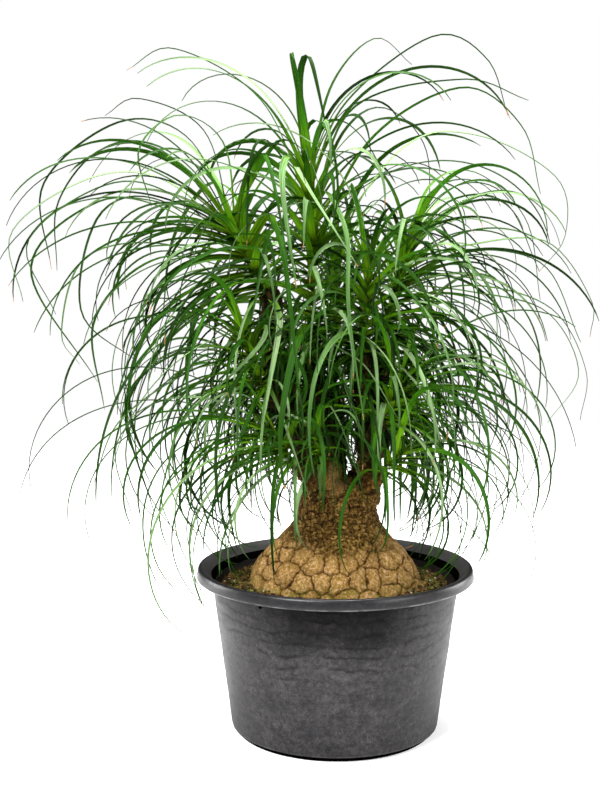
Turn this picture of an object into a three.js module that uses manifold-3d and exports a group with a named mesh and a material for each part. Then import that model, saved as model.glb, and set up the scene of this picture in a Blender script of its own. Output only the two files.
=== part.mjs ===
// Potted ponytail palm (Beaucarnea recurvata): a swollen, plated foot that divides into four stems,
// twelve crowns of long arching strap leaves, and the plastic nursery pot of mix that it grows in.
// Millimetres, +Z up. The origin is the middle of the pot's underside, and the plant faces -Y.

import * as THREE from "three";
import { mergeVertices } from "three/addons/utils/BufferGeometryUtils.js";
import Module from "manifold-3d";

const wasm = await Module();
wasm.setup();

// Driving dimensions of the pot
const POT_HEIGHT = 204;
const RIM_RADIUS = 170;
const RIM_DROP = 13; // height of the rolled rim's outer band
const MOUTH_RADIUS = 152;
const WALL_TOP_RADIUS = 151.5; // outside of the wall, under the rim
const WALL_FOOT_RADIUS = 127.1;
const FOOT_RADIUS = 121;
const WALL = 2.6;
const FLOOR = 4;
const POT_SIDES = 36;
const DRAIN_HOLES = 6;
const DRAIN_RADIUS = 6;
const DRAIN_CIRCLE = 92;
const HANGER_HOLES = 3; // small holes in the wall just under the rim
const HANGER_RADIUS = 2.4;
const HANGER_TURN = -36; // degrees from the front to the first of them

// Driving dimensions of the mix and the plant's foot
const GAP = 0.3; // between pieces that touch
const SOIL_EDGE = 178; // height of the mix at the wall
const SOIL_MIDDLE = 186; // and against the plant's foot
const SOIL_ROUGHNESS = 2.2;
const FOOT_BURIED = 172; // where the foot is widest, just under the surface
const FOOT_WIDEST = 104;
const FOOT_LOBES = 0.012; // share by which its outline swells and shrinks on the way round
const FOOT_POINT = 122; // the lowest point of the buried cone
const FOOT_PROFILE = [
  // radius and height of the foot and neck, from the widest ring up
  [FOOT_WIDEST, FOOT_BURIED],
  [103, 186],
  [97.5, 200],
  [90, 213],
  [77.5, 227],
  [65, 240],
  [53.5, 254],
  [47.5, 267],
  [45.5, 282],
  [41, 294],
  [32, 305],
  [19, 311],
];
const NECK_SHIFT = 3; // the neck stands this far to the right of the foot's axis
const NECK_TOP = 313;

// The corky plates that cover the foot
const PLATE_COLUMNS = 26;
const PLATE_ROWS = 7;
const PLATE_RADIUS = 85; // where a plate is as tall as it is wide
const PLATE_JITTER = 0.34; // share of a plate's spacing
const PLATE_RELIEF = 2.6;
const PLATE_DOME = 0.8;
const CRACK_SHARE = 0.17; // of the way from a crack to a plate's middle
const PLATE_SEED = 41;

// The leaves
const GOLDEN_ANGLE = Math.PI * (3 - Math.sqrt(5));
const GOLDEN_SHARE = (Math.sqrt(5) - 1) / 2;
const SIDEWAYS = 0.22; // how strongly the leaves gather at the left and right of a crown
const OUTWARD = 2; // and how strongly, in a crown that leans, on the side that it leans to
const BLADE_STEP = 76; // a blade's length between two of its sections
const BLADE_THICKNESS = 1.5;
const BLADE_CLEARANCE = 0.4;
const BLADES = 174;
const AXIS_SIDES = 5;
const AXIS_RADII = [8, 5];
const STEM_SIDES = 10;

// Each crown: seed, foot and tip of its leafy axis, number of leaves, their length and width, and how far
// from straight up an old leaf's tip points, in radians
const CROWNS = {
  top_left: {
    seed: 11, foot: [-80, -5, 530], tip: [-130, -12, 624],
    leaves: 80, length: 390, width: 10, curl: 3.6,
  },
  top_centre: {
    seed: 12, foot: [-26, 0, 440], tip: [-32, -10, 684],
    leaves: 104, length: 360, width: 11.5, curl: 3.5,
  },
  right_inner: {
    seed: 13, foot: [33, -16, 455], tip: [38, -30, 572],
    leaves: 70, length: 300, width: 9.5, curl: 3.7,
  },
  right_outer: {
    seed: 14, foot: [56, 8, 470], tip: [88, 12, 599],
    leaves: 72, length: 350, width: 9.5, curl: 3.6,
  },
  left_middle: {
    seed: 15, foot: [-78, -30, 418], tip: [-112, -34, 484],
    leaves: 46, length: 345, width: 7.5, curl: 4.6,
  },
  left_low: {
    seed: 16, foot: [-46, -31, 333], tip: [-76, -35, 376],
    leaves: 46, length: 390, width: 6.5, curl: 4.8,
  },
  front_low: {
    seed: 17, foot: [-19, -46, 332], tip: [-25, -64, 379],
    leaves: 26, length: 140, width: 6.5, curl: 4,
  },
  right_middle: {
    seed: 18, foot: [50, -32, 378], tip: [76, -36, 431],
    leaves: 56, length: 330, width: 7.5, curl: 4.5,
  },
  right_low: {
    seed: 19, foot: [51, -31, 319], tip: [76, -35, 350],
    leaves: 27, length: 300, width: 6.5, curl: 4.8,
  },
  back_top: {
    seed: 20, foot: [0, 56, 400], tip: [3, 80, 574],
    leaves: 70, length: 320, width: 9, curl: 3.6,
  },
  back_left: {
    seed: 21, foot: [-60, 42, 364], tip: [-91, 62, 419],
    leaves: 40, length: 300, width: 7.5, curl: 4.4,
  },
  back_right: {
    seed: 22, foot: [61, 45, 351], tip: [89, 66, 400],
    leaves: 36, length: 290, width: 7.5, curl: 4.4,
  },
};

// The leaves that stand out or hang in front: the share of the crown's axis that each grows from, the
// depth (y) of its tip, its width, and the [x, z] points that it passes through.
const REACHING = {
  top_centre: [
    [0.9, -40, 7, [10, 758], [112, 834], [173, 807], [197, 741]],
    [0.9, 60, 7, [-7, 778], [47, 840], [94, 814]],
    [0.7, -70, 8, [16, 749], [142, 782], [215, 755]],
    [0.6, -100, 9, [40, 716], [143, 773], [208, 727], [225, 649]],
    [0.5, 40, 8, [77, 706], [167, 724], [266, 674], [280, 606], [251, 561]],
    [0.75, 62, 9, [7, 724], [57, 757], [110, 710], [117, 601]],
    [0.95, -90, 14, [-44, 773], [-33, 806], [-13, 719]],
    [0.9, -70, 11, [-19, 728], [13, 733], [50, 678], [55, 585]],
    [0.8, 60, 6, [-89, 764], [-194, 828], [-256, 807]],
    [0.9, -80, 9, [-39, 716], [-25, 738], [-8, 715], [0, 654], [-9, 605]],
    [0.9, -190, 12, [-52, 693], [-61, 686], [-62, 649], [-47, 546]],
    [0.85, -200, 10, [-48, 683], [-30, 648], [17, 569]],
    [0.85, -70, 8, [-64, 695], [-87, 716], [-101, 684], [-104, 591]],
    [0.6, -200, 11, [-19, 654], [-2, 638], [10, 596], [10, 518], [24, 408]],
    [0.5, -90, 9, [-3, 641], [19, 654], [31, 611], [38, 557]],
    [0.2, -150, 10, [-15, 483], [4, 472], [32, 454], [64, 403]],
    [0.15, -110, 10, [-12, 453], [2, 452], [15, 413], [39, 351]],
    [0.2, -90, 8, [-37, 474], [-29, 436], [-25, 368]],
  ],
  top_left: [
    [0.9, 30, 6, [-156, 727], [-235, 767], [-279, 749]],
    [0.8, -70, 8, [-132, 710], [-183, 743], [-228, 703], [-212, 636]],
    [0.8, 70, 8, [-174, 718], [-260, 740], [-357, 668], [-355, 564]],
    [0.7, -120, 8, [-196, 698], [-269, 703], [-316, 641], [-312, 564]],
    [0.6, -30, 8, [-198, 667], [-286, 673], [-382, 610], [-370, 527]],
    [0.5, -80, 8, [-197, 654], [-271, 662], [-357, 597], [-322, 514]],
    [0.4, 50, 8, [-205, 637], [-291, 643], [-372, 563], [-296, 424]],
    [0.4, -60, 10, [-209, 646], [-279, 627], [-299, 516], [-229, 456]],
    [0.3, -100, 8, [-209, 595], [-295, 577], [-318, 493], [-292, 458]],
    [0.3, 100, 8, [-213, 578], [-299, 501], [-296, 383]],
    [0.95, -100, 10, [-78, 704], [-55, 713], [-34, 693], [-22, 659], [-15, 616]],
    [0.9, -180, 11, [-92, 691], [-81, 689], [-69, 644], [-56, 570]],
    [0.6, -210, 14, [-83, 627], [-73, 617], [-60, 573], [-43, 427]],
    [0.5, -190, 9, [-80, 611], [-84, 581], [-95, 509]],
    [0.1, -190, 11, [-70, 518], [-67, 499], [-75, 451], [-84, 397]],
    [0.5, 220, 9, [-120, 650], [-160, 668], [-210, 600], [-232, 500]],
  ],
  right_outer: [
    [0.9, -60, 8, [137, 646], [198, 642], [233, 563]],
    [0.8, 40, 8, [157, 593], [256, 598], [314, 527], [316, 481]],
    [0.7, -90, 8, [143, 587], [238, 572], [276, 483]],
    [0.6, -120, 11, [161, 538], [246, 516], [278, 447], [234, 394]],
    [0.4, 70, 7, [164, 545], [265, 517], [314, 439], [313, 374]],
    [0.3, -100, 10, [161, 521], [220, 422], [206, 358]],
    [0.95, 80, 8, [115, 666], [171, 682], [237, 625], [261, 526]],
    [0.3, -150, 11, [67, 513], [79, 499], [88, 472], [86, 436]],
    [0.6, 215, 9, [104, 610], [132, 622], [168, 560], [184, 470]],
  ],
  left_middle: [
    [0.7, -70, 8, [-173, 445], [-255, 387], [-285, 313]],
    [0.6, 60, 8, [-169, 473], [-256, 404], [-228, 253]],
    [0.4, -40, 8, [-174, 432], [-260, 361], [-241, 263]],
    [0.9, -150, 9, [-83, 502], [-87, 482], [-115, 452], [-139, 433]],
    [0.1, -90, 9, [-84, 427], [-99, 403], [-121, 345]],
    [0.2, -130, 8, [-76, 420], [-58, 379], [-32, 308]],
  ],
  left_low: [
    [0.6, -70, 8, [-162, 391], [-206, 303], [-181, 240]],
    [0.4, 40, 8, [-158, 358], [-191, 281], [-165, 221]],
  ],
  right_middle: [
    [0.7, -60, 9, [124, 394], [179, 320], [158, 239]],
    [0.5, 60, 8, [139, 376], [213, 298], [192, 195]],
  ],
  right_low: [
    [0.6, -80, 8, [102, 311], [153, 267], [196, 214]],
  ],
  front_low: [
    [0.9, -100, 9, [-14, 407], [-4, 401], [12, 365], [32, 302]],
  ],
  back_top: [
    [0.8, 240, 9, [4, 650], [12, 668], [24, 620], [34, 520]],
    [0.6, 230, 9, [-14, 600], [-38, 616], [-70, 560], [-84, 470]],
    [0.5, 225, 9, [24, 570], [60, 590], [100, 530], [118, 440]],
  ],
};

// Each stem: the points that it passes through on its way to its crown, and its radius at both ends
const STEMS = [
  {
    points: [[-12, 0, 285], [-28, -2, 345], [-56, -4, 415], [-76, -5, 475]],
    crown: "top_left",
    radii: [20, 12],
  },
  { points: [[-8, -2, 285], [-14, 2, 350]], crown: "top_centre", radii: [20, 13] },
  { points: [[38, 0, 280], [42, 1, 330], [38, -4, 390]], crown: "right_inner", radii: [16, 12] },
  { points: [[-4, 18, 280], [-2, 42, 350]], crown: "back_top", radii: [20, 12] },
  { points: [[42, 0, 350], [50, 6, 420]], crown: "right_outer", radii: [14, 11] },
  { points: [[-46, -4, 385]], crown: "left_middle", radii: [13, 9] },
  { points: [[-20, -4, 305]], crown: "left_low", radii: [13, 8] },
  { points: [[-8, -14, 300]], crown: "front_low", radii: [12, 8] },
  { points: [[42, -4, 345]], crown: "right_middle", radii: [12, 8] },
  { points: [[34, -6, 290]], crown: "right_low", radii: [12, 8] },
  { points: [[-8, 20, 306]], crown: "back_left", radii: [14, 9] },
  { points: [[22, 20, 300]], crown: "back_right", radii: [13, 9] },
];

// Colour, roughness and metalness
const PLASTIC = new THREE.MeshStandardMaterial({ color: 0x4b4a4d, roughness: 0.55, metalness: 0 });
const MIX = new THREE.MeshStandardMaterial({ color: 0x3b2a17, roughness: 0.95, metalness: 0 });
const BARK = new THREE.MeshStandardMaterial({ color: 0x9a7443, roughness: 0.9, metalness: 0 });
const LEAF = new THREE.MeshStandardMaterial({ color: 0x3f6f22, roughness: 0.45, metalness: 0 });

// A run of random numbers from 0 to 1 that is the same for the same seed
function randomFrom(seed) {
  let state = seed >>> 0;
  return () => {
    state = (state + 0x6d2b79f5) >>> 0;
    let t = state;
    t = Math.imul(t ^ (t >>> 15), t | 1);
    t ^= t + Math.imul(t ^ (t >>> 7), t | 61);
    return ((t ^ (t >>> 14)) >>> 0) / 4294967296;
  };
}

const mix = (a, b, share) => a + (b - a) * share;
const vector = (point) => new THREE.Vector3(...point);

// A smooth bump field over space, from -1 to 1
function bump(x, y, z, scale) {
  const wave = (a, b, c, turn) => Math.sin((x * a + y * b + z * c) / scale + turn);
  return (wave(1, 0.7, 0.3, 0.4) + wave(-0.6, 1, 0.5, 2.1) + wave(0.4, -0.8, 1.1, 4.2)) / 3;
}

// A closed geometry as a solid
function solidOf(geometry) {
  const bare = new THREE.BufferGeometry();
  bare.setAttribute("position", geometry.attributes.position);
  bare.setIndex(geometry.index);
  const merged = mergeVertices(bare, 1e-3);
  const corners = merged.index.array;
  const kept = [];
  for (let i = 0; i < corners.length; i += 3) {
    const [a, b, c] = corners.subarray(i, i + 3);
    if (a !== b && b !== c && c !== a) kept.push(a, b, c);
  }
  return new wasm.Manifold(
    new wasm.Mesh({
      numProp: 3,
      vertProperties: new Float32Array(merged.attributes.position.array),
      triVerts: new Uint32Array(kept),
    }),
  );
}

// Points and triangles as a geometry
function geometryOf(points, triangles) {
  const made = new THREE.BufferGeometry();
  made.setAttribute("position", new THREE.Float32BufferAttribute(points.flat(), 3));
  made.setIndex(triangles.flat());
  return made;
}

function meshOf(name, solid, material) {
  const { vertProperties, triVerts, numProp } = solid.getMesh();
  const points = [];
  for (let i = 0; i < vertProperties.length; i += numProp) {
    points.push([...vertProperties.subarray(i, i + 3)]);
  }
  const geometry = geometryOf(points, [...triVerts]);
  geometry.computeVertexNormals();
  const mesh = new THREE.Mesh(geometry, material);
  mesh.name = name;
  return mesh;
}

// A round solid about Z from a profile of [radius, height]
function turned(profile, sides = POT_SIDES) {
  const points = profile.map(([r, z]) => new THREE.Vector2(r, z));
  return new THREE.LatheGeometry(points, sides).rotateX(Math.PI / 2);
}

// The triangles of a closed skin over rings of points that run from one end point to another
function skin(rings, sides) {
  const at = (i, j) => 1 + i * sides + (j % sides);
  const end = at(rings, sides - 1) + 1;
  const triangles = [];
  for (let j = 0; j < sides; j++) {
    triangles.push([0, at(0, j + 1), at(0, j)], [end, at(rings, j), at(rings, j + 1)]);
    for (let i = 0; i < rings; i++) {
      triangles.push([at(i, j), at(i, j + 1), at(i + 1, j)]);
      triangles.push([at(i, j + 1), at(i + 1, j + 1), at(i + 1, j)]);
    }
  }
  return triangles;
}

// A closed tube of rings along a curve, with its radius given by the share of its length
function tube(curve, rings, sides, radiusAt) {
  const frames = curve.computeFrenetFrames(rings, false);
  const points = [curve.getPointAt(0).toArray()];
  for (let i = 0; i <= rings; i++) {
    const centre = curve.getPointAt(i / rings);
    for (let j = 0; j < sides; j++) {
      const turn = (j / sides) * 2 * Math.PI;
      const out = frames.normals[i].clone().multiplyScalar(Math.cos(turn));
      out.addScaledVector(frames.binormals[i], Math.sin(turn));
      points.push(centre.clone().addScaledVector(out, radiusAt(i / rings, turn)).toArray());
    }
  }
  points.push(curve.getPointAt(1).toArray());
  return solidOf(geometryOf(points, skin(rings, sides)));
}

// A round bar along Y that cuts a hole
function drill(radius, length) {
  return new THREE.CylinderGeometry(radius, radius, length, 8);
}

function makePot() {
  const lipBottom = POT_HEIGHT - RIM_DROP;
  const inside = (z) => mix(WALL_FOOT_RADIUS, WALL_TOP_RADIUS, (z - FLOOR) / (lipBottom - FLOOR)) - WALL;
  const profile = [
    [0, 0],
    [FOOT_RADIUS, 0],
    [FOOT_RADIUS + 1.5, 3.2],
    [WALL_FOOT_RADIUS, 6],
    [WALL_TOP_RADIUS, lipBottom],
    [MOUTH_RADIUS + 4, POT_HEIGHT - 9],
    [MOUTH_RADIUS + 10, POT_HEIGHT - 3.6],
    [RIM_RADIUS - 4, POT_HEIGHT - 3.6],
    [RIM_RADIUS - WALL, lipBottom],
    [RIM_RADIUS, lipBottom],
    [RIM_RADIUS - 1.4, POT_HEIGHT - 3.4],
    [RIM_RADIUS - 3.3, POT_HEIGHT - 0.6],
    [RIM_RADIUS - 5, POT_HEIGHT],
    [RIM_RADIUS - 9.5, POT_HEIGHT - 1.6],
    [MOUTH_RADIUS + 2.5, POT_HEIGHT - 6.6],
    [MOUTH_RADIUS - 0.6, POT_HEIGHT - 10.6],
    [inside(lipBottom), lipBottom],
    [inside(FLOOR + 7), FLOOR + 7],
    [inside(FLOOR) - 5, FLOOR],
    [0, FLOOR],
  ];
  let pot = solidOf(turned(profile));
  for (let i = 0; i < DRAIN_HOLES; i++) {
    const hole = drill(DRAIN_RADIUS, 4 * FLOOR).rotateX(Math.PI / 2).translate(0, DRAIN_CIRCLE, 0);
    pot = pot.subtract(solidOf(hole.rotateZ(((i + 0.5) / DRAIN_HOLES) * 2 * Math.PI)));
  }
  for (let i = 0; i < HANGER_HOLES; i++) {
    const turn = THREE.MathUtils.degToRad(HANGER_TURN) + (i / HANGER_HOLES) * 2 * Math.PI;
    const hole = drill(HANGER_RADIUS, 6 * WALL).translate(0, -WALL_TOP_RADIUS, lipBottom - 8);
    pot = pot.subtract(solidOf(hole.rotateZ(turn)));
  }
  return { solid: pot, inside };
}

// The mix: it follows the pot's inside, and has a plain hole for the buried part of the foot
function makeSoil(inside) {
  const widest = FOOT_WIDEST * (1 + FOOT_LOBES) + PLATE_RELIEF + PLATE_DOME;
  const hole = (widest + GAP) / Math.cos(Math.PI / POT_SIDES);
  const profile = [
    [0, FLOOR + GAP],
    [inside(FLOOR) - 5 - GAP, FLOOR + GAP],
    [inside(FLOOR + 7) - GAP, FLOOR + 7 + GAP],
    [inside(SOIL_EDGE) - GAP, SOIL_EDGE],
    [140, SOIL_EDGE + 1.5],
    [130, mix(SOIL_EDGE, SOIL_MIDDLE, 0.4)],
    [119, mix(SOIL_EDGE, SOIL_MIDDLE, 0.8)],
    [hole, SOIL_MIDDLE],
    [hole, FOOT_BURIED - 2],
    [0, FOOT_POINT - 2],
  ];
  const geometry = turned(profile);
  const position = geometry.attributes.position;
  for (let i = 0; i < position.count; i++) {
    const [x, y, z] = [position.getX(i), position.getY(i), position.getZ(i)];
    const loose = z > SOIL_EDGE - 1 && Math.hypot(x, y) < 145;
    if (loose) position.setZ(i, z + SOIL_ROUGHNESS * bump(x, y, 0, 9));
  }
  return solidOf(geometry);
}

// The foot's surface: a turn and a way up give a point, with a step outwards from the surface
function footSurface() {
  const curve = new THREE.SplineCurve(FOOT_PROFILE.map(([r, z]) => new THREE.Vector2(r, z)));
  const steps = 120;
  const rows = [];
  let v = 0; // the way up the surface, in plate radii
  for (let i = 0; i <= steps; i++) {
    const at = curve.getPoint(i / steps);
    const along = curve.getTangent(i / steps);
    if (i) v += at.distanceTo(rows[i - 1].at) / PLATE_RADIUS;
    rows.push({ at, out: new THREE.Vector2(along.y, -along.x), v });
  }
  const point = (turn, height, step) => {
    const next = Math.max(1, rows.findIndex((row) => row.v >= height));
    const [low, high] = [rows[next - 1], rows[next]];
    const share = THREE.MathUtils.clamp((height - low.v) / (high.v - low.v), 0, 1);
    const at = low.at.clone().lerp(high.at, share);
    const out = low.out.clone().lerp(high.out, share).normalize();
    const r = at.x * (1 + FOOT_LOBES * Math.cos(3 * turn + 2)) + out.x * step;
    const z = at.y + out.y * step;
    const shift = NECK_SHIFT * THREE.MathUtils.smoothstep(z, 225, 275);
    return [r * Math.cos(turn) + shift, r * Math.sin(turn), z];
  };
  return { point, tall: v };
}

// The part of a polygon that is nearer to seed a than to seed b
function nearer(polygon, a, b) {
  const middle = [(a[0] + b[0]) / 2, (a[1] + b[1]) / 2];
  const side = (p) => (p[0] - middle[0]) * (b[0] - a[0]) + (p[1] - middle[1]) * (b[1] - a[1]);
  const kept = [];
  polygon.forEach((p, i) => {
    const q = polygon[(i + 1) % polygon.length];
    const [sp, sq] = [side(p), side(q)];
    if (sp <= 0) kept.push(p);
    if (sp * sq < 0) kept.push([mix(p[0], q[0], sp / (sp - sq)), mix(p[1], q[1], sp / (sp - sq))]);
  });
  return kept;
}

// The foot with its plates: each is a domed polygon, and neighbours meet at the floor of a crack
function makeFoot() {
  const { point, tall } = footSurface();
  const draw = randomFrom(PLATE_SEED);
  const seeds = [];
  for (let row = 0; row < PLATE_ROWS; row++) {
    for (let column = 0; column < PLATE_COLUMNS; column++) {
      const turn = (column + (row % 2) / 2 + PLATE_JITTER * (2 * draw() - 1)) / PLATE_COLUMNS;
      const v = (row + 0.5 + PLATE_JITTER * (2 * draw() - 1)) / PLATE_ROWS;
      seeds.push([turn * 2 * Math.PI, v * tall]);
    }
  }
  const reach = 1.1;
  const around = [-1, 0, 1].flatMap((k) => seeds.map(([turn, v]) => [turn + k * 2 * Math.PI, v]));
  const points = [];
  const weld = (p) => {
    const same = (q) => q.crack && Math.hypot(p[0] - q[0], p[1] - q[1], p[2] - q[2]) < 1.2;
    const known = points.findIndex(same);
    if (known >= 0) return known;
    p.crack = true;
    return points.push(p) - 1;
  };
  const triangles = [];
  for (const seed of seeds) {
    const [turn, v] = seed;
    let plate = [[turn - reach, 0], [turn + reach, 0], [turn + reach, tall], [turn - reach, tall]];
    for (const other of around) {
      const near = Math.abs(other[0] - turn) < reach && Math.abs(other[1] - v) < reach;
      const itself = other[0] === turn && other[1] === v;
      if (near && !itself) plate = nearer(plate, seed, other);
    }
    const corners = [];
    for (const corner of plate) {
      const id = weld(point(corner[0], corner[1], 0));
      if (!corners.some((c) => c.id === id)) corners.push({ id, corner });
    }
    if (corners.length < 3) continue;
    const centre = [0, 1].map((k) => corners.reduce((sum, c) => sum + c.corner[k], 0) / corners.length);
    const relief = PLATE_RELIEF * (0.7 + 0.3 * draw());
    const middle = points.push(point(centre[0], centre[1], relief + PLATE_DOME)) - 1;
    const inner = corners.map(({ corner }) => {
      const at = [0, 1].map((k) => mix(corner[k], centre[k], CRACK_SHARE));
      return points.push(point(at[0], at[1], relief)) - 1;
    });
    corners.forEach((c, i) => {
      const j = (i + 1) % corners.length;
      triangles.push([middle, inner[i], inner[j]]);
      triangles.push([inner[i], c.id, corners[j].id], [inner[i], corners[j].id, inner[j]]);
    });
  }
  const edges = new Set(triangles.flatMap(([a, b, c]) => [`${a}_${b}`, `${b}_${c}`, `${c}_${a}`]));
  const buried = points.push([0, 0, FOOT_POINT]) - 1;
  const top = points.push([NECK_SHIFT, 0, NECK_TOP]) - 1;
  for (const [a, b, c] of [...triangles]) {
    for (const [p, q] of [[a, b], [b, c], [c, a]]) {
      const open = !edges.has(`${q}_${p}`);
      if (open) triangles.push([q, p, points[p][2] < (FOOT_BURIED + NECK_TOP) / 2 ? buried : top]);
    }
  }
  return solidOf(geometryOf(points.map((p) => [...p]), triangles));
}

// The foot, its neck and the stems, joined as the one piece that grew
function makeTrunk() {
  let trunk = makeFoot();
  for (const { points, crown, radii } of STEMS) {
    const foot = vector(CROWNS[crown].foot);
    const axis = vector(CROWNS[crown].tip).sub(foot).normalize();
    const end = foot.clone().addScaledVector(axis, -GAP);
    const curve = new THREE.CatmullRomCurve3([
      ...points.map(vector),
      end.clone().addScaledVector(axis, -8),
      end,
    ]);
    const rings = Math.max(3, Math.round(curve.getLength() / 34));
    const ribs = (share, turn) => 1 + 0.07 * Math.sin(3 * turn + 40 * share);
    const radiusAt = (share, turn) => mix(radii[0], radii[1], share) * ribs(share, turn);
    trunk = trunk.add(tube(curve, rings, STEM_SIDES, radiusAt));
  }
  return trunk;
}

// One leaf of a crown. The youngest stand near the tip and upright, the oldest near the foot and spread.
function leafOf(crown, index) {
  const draw = randomFrom(crown.seed * 1000 + index);
  const age = (index + draw()) / crown.leaves;
  const foot = vector(crown.foot);
  const axis = vector(crown.tip).sub(foot);
  const root = foot.clone().addScaledVector(axis, mix(0.96, 0.04, age));
  axis.normalize();
  const side = new THREE.Vector3(0, 1, 0).cross(axis).normalize();
  const front = axis.clone().cross(side);
  const spread = index * GOLDEN_ANGLE + 0.5 * (draw() - 0.5);
  const sideways = spread - SIDEWAYS * Math.sin(2 * spread);
  const outward = Math.sin(sideways - Math.atan2(axis.y, axis.x));
  const turn = sideways - OUTWARD * Math.hypot(axis.x, axis.y) * outward;
  const lean = mix(0.08, 1.3, Math.pow(age, 0.6)) + 0.24 * (draw() - 0.5);
  const first = axis.multiplyScalar(Math.cos(lean));
  first.addScaledVector(side, Math.sin(lean) * Math.cos(turn));
  first.addScaledVector(front, Math.sin(lean) * Math.sin(turn));
  const slope = Math.acos(THREE.MathUtils.clamp(first.z, -1, 1)); // from straight up
  const heading = Math.atan2(first.y, first.x);
  const shortened = 1 - 0.18 * Math.sin(heading) ** 2; // in front and behind
  const length = crown.length * (0.48 + 0.57 * Math.pow(draw(), 1.7)) * shortened;
  const droop = Math.max(mix(2.3, crown.curl, Math.pow(age, 0.4)) + 1.1 * (draw() - 0.5), slope + 0.35);
  const sway = 1.1 * (draw() - 0.5);
  const twist = 2.4 * (draw() - 0.5);
  const width = crown.width * (0.7 + 0.5 * draw());
  const lateness = mix(1.6, 0.95, age);
  return { root, slope, heading, length, droop, sway, twist, width, lateness };
}

// The points along a leaf's middle, found by following its direction
function bentSpine(leaf, steps) {
  const fine = 8;
  const at = leaf.root.clone();
  const spine = [at.clone()];
  for (let i = 0; i < steps * fine; i++) {
    const u = i / (steps * fine);
    const slope = mix(leaf.slope, leaf.droop, Math.pow(u, leaf.lateness));
    const heading = leaf.heading + leaf.sway * u * u;
    const along = new THREE.Vector3(
      Math.sin(slope) * Math.cos(heading),
      Math.sin(slope) * Math.sin(heading),
      Math.cos(slope),
    );
    at.addScaledVector(along, leaf.length / (steps * fine));
    if (i % fine === fine - 1) spine.push(at.clone());
  }
  return spine;
}

// A leaf that reaches out of its crown: a smooth curve through its given points
function reachingLeaf(crown, [share, depth, width, ...through]) {
  const root = vector(crown.foot).lerp(vector(crown.tip), share);
  const points = through.map(([x, z], i) => {
    const y = mix(root.y, depth, Math.pow((i + 1) / through.length, 1.5));
    return new THREE.Vector3(x, y, z);
  });
  const curve = new THREE.CatmullRomCurve3([root, ...points], false, "catmullrom", 0.5);
  const heading = Math.atan2(points.at(-1).y - root.y, points.at(-1).x - root.x);
  return { curve, heading, width, length: curve.getLength(), twist: depth > root.y ? 0.5 : -0.5 };
}

// A leaf's width at a share of its length: it narrows from its base to a fine tip
function leafWidth(leaf, u) {
  return leaf.width * (0.1 + 0.9 * Math.pow(1 - u, 0.65)) * (1 + 0.3 * Math.exp(-9 * u));
}

// A leaf as a solid blade with a keel below, grown by a margin on all sides and without its first steps
function blade(leaf, margin, skipped) {
  const steps = THREE.MathUtils.clamp(Math.round(leaf.length / BLADE_STEP), 4, 8);
  const spine = leaf.curve ? leaf.curve.getSpacedPoints(steps) : bentSpine(leaf, steps);
  const points = [spine[skipped].toArray()];
  for (let i = skipped; i < steps; i++) {
    const u = i / steps;
    const along = spine[i + 1].clone().sub(spine[Math.max(0, i - 1)]).normalize();
    const heading = leaf.heading + (leaf.sway ?? 0) * u * u;
    const across = new THREE.Vector3(-Math.sin(heading), Math.cos(heading), 0);
    across.applyAxisAngle(along, leaf.twist * (0.35 + 0.65 * u));
    const upper = along.clone().cross(across);
    const half = leafWidth(leaf, u) / 2 + margin;
    const deep = (BLADE_THICKNESS / 2) * (1 - 0.5 * u) + margin;
    const corner = (x, y) => spine[i].clone().addScaledVector(across, x).addScaledVector(upper, y);
    points.push(corner(half, deep).toArray(), corner(-half, deep).toArray(), corner(0, -deep).toArray());
  }
  points.push(spine[steps].toArray());
  return solidOf(geometryOf(points, skin(steps - skipped - 1, 3)));
}

// A crown's leafy axis, hidden by the leaf bases
function makeAxis(crown) {
  return tube(new THREE.LineCurve3(vector(crown.foot), vector(crown.tip)), 1, AXIS_SIDES, (share) =>
    mix(...AXIS_RADII, share),
  );
}

// Every crown's solid: its axis and as many blades as pass clear of every other piece. The reaching leaves
// come first, then one leaf from each crown in turn.
function makeCrowns(neighbours) {
  const made = new Map();
  for (const [name, crown] of Object.entries(CROWNS)) {
    const reaching = (REACHING[name] ?? []).map((row) => reachingLeaf(crown, row));
    const order = [...Array(crown.leaves).keys()].sort(
      (a, b) => ((a * GOLDEN_SHARE) % 1) - ((b * GOLDEN_SHARE) % 1),
    );
    const others = order.map((i) => leafOf(crown, i));
    made.set(name, { solid: makeAxis(crown), leaves: [...reaching, ...others] });
  }
  const touches = (a, b) => !a.intersect(b).isEmpty();
  const most = Math.max(...[...made.values()].map(({ leaves }) => leaves.length));
  let blades = 0;
  for (let round = 0; round < most; round++) {
    for (const [name, own] of made) {
      const leaf = own.leaves[round];
      if (!leaf || blades >= BLADES) continue;
      const room = blade(leaf, BLADE_CLEARANCE, 0);
      if (neighbours.some((other) => touches(room, other))) continue;
      if ([...made].some(([other, { solid }]) => other !== name && touches(room, solid))) continue;
      if (touches(blade(leaf, 0, 1), own.solid)) continue;
      own.solid = own.solid.add(blade(leaf, 0, 0));
      blades += 1;
    }
  }
  return made;
}

const palm = new THREE.Group();
const pot = makePot();
const soil = makeSoil(pot.inside);
const trunk = makeTrunk();
palm.add(meshOf("pot", pot.solid, PLASTIC));
palm.add(meshOf("soil", soil, MIX));
palm.add(meshOf("trunk", trunk, BARK));
for (const [name, { solid }] of makeCrowns([pot.solid, soil, trunk])) {
  palm.add(meshOf(`crown_${name}`, solid, LEAF));
}

export default palm;
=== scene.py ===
import math
from itertools import combinations

import bpy
import numpy as np
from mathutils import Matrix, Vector, noise
from mathutils.bvhtree import BVHTree


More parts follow.
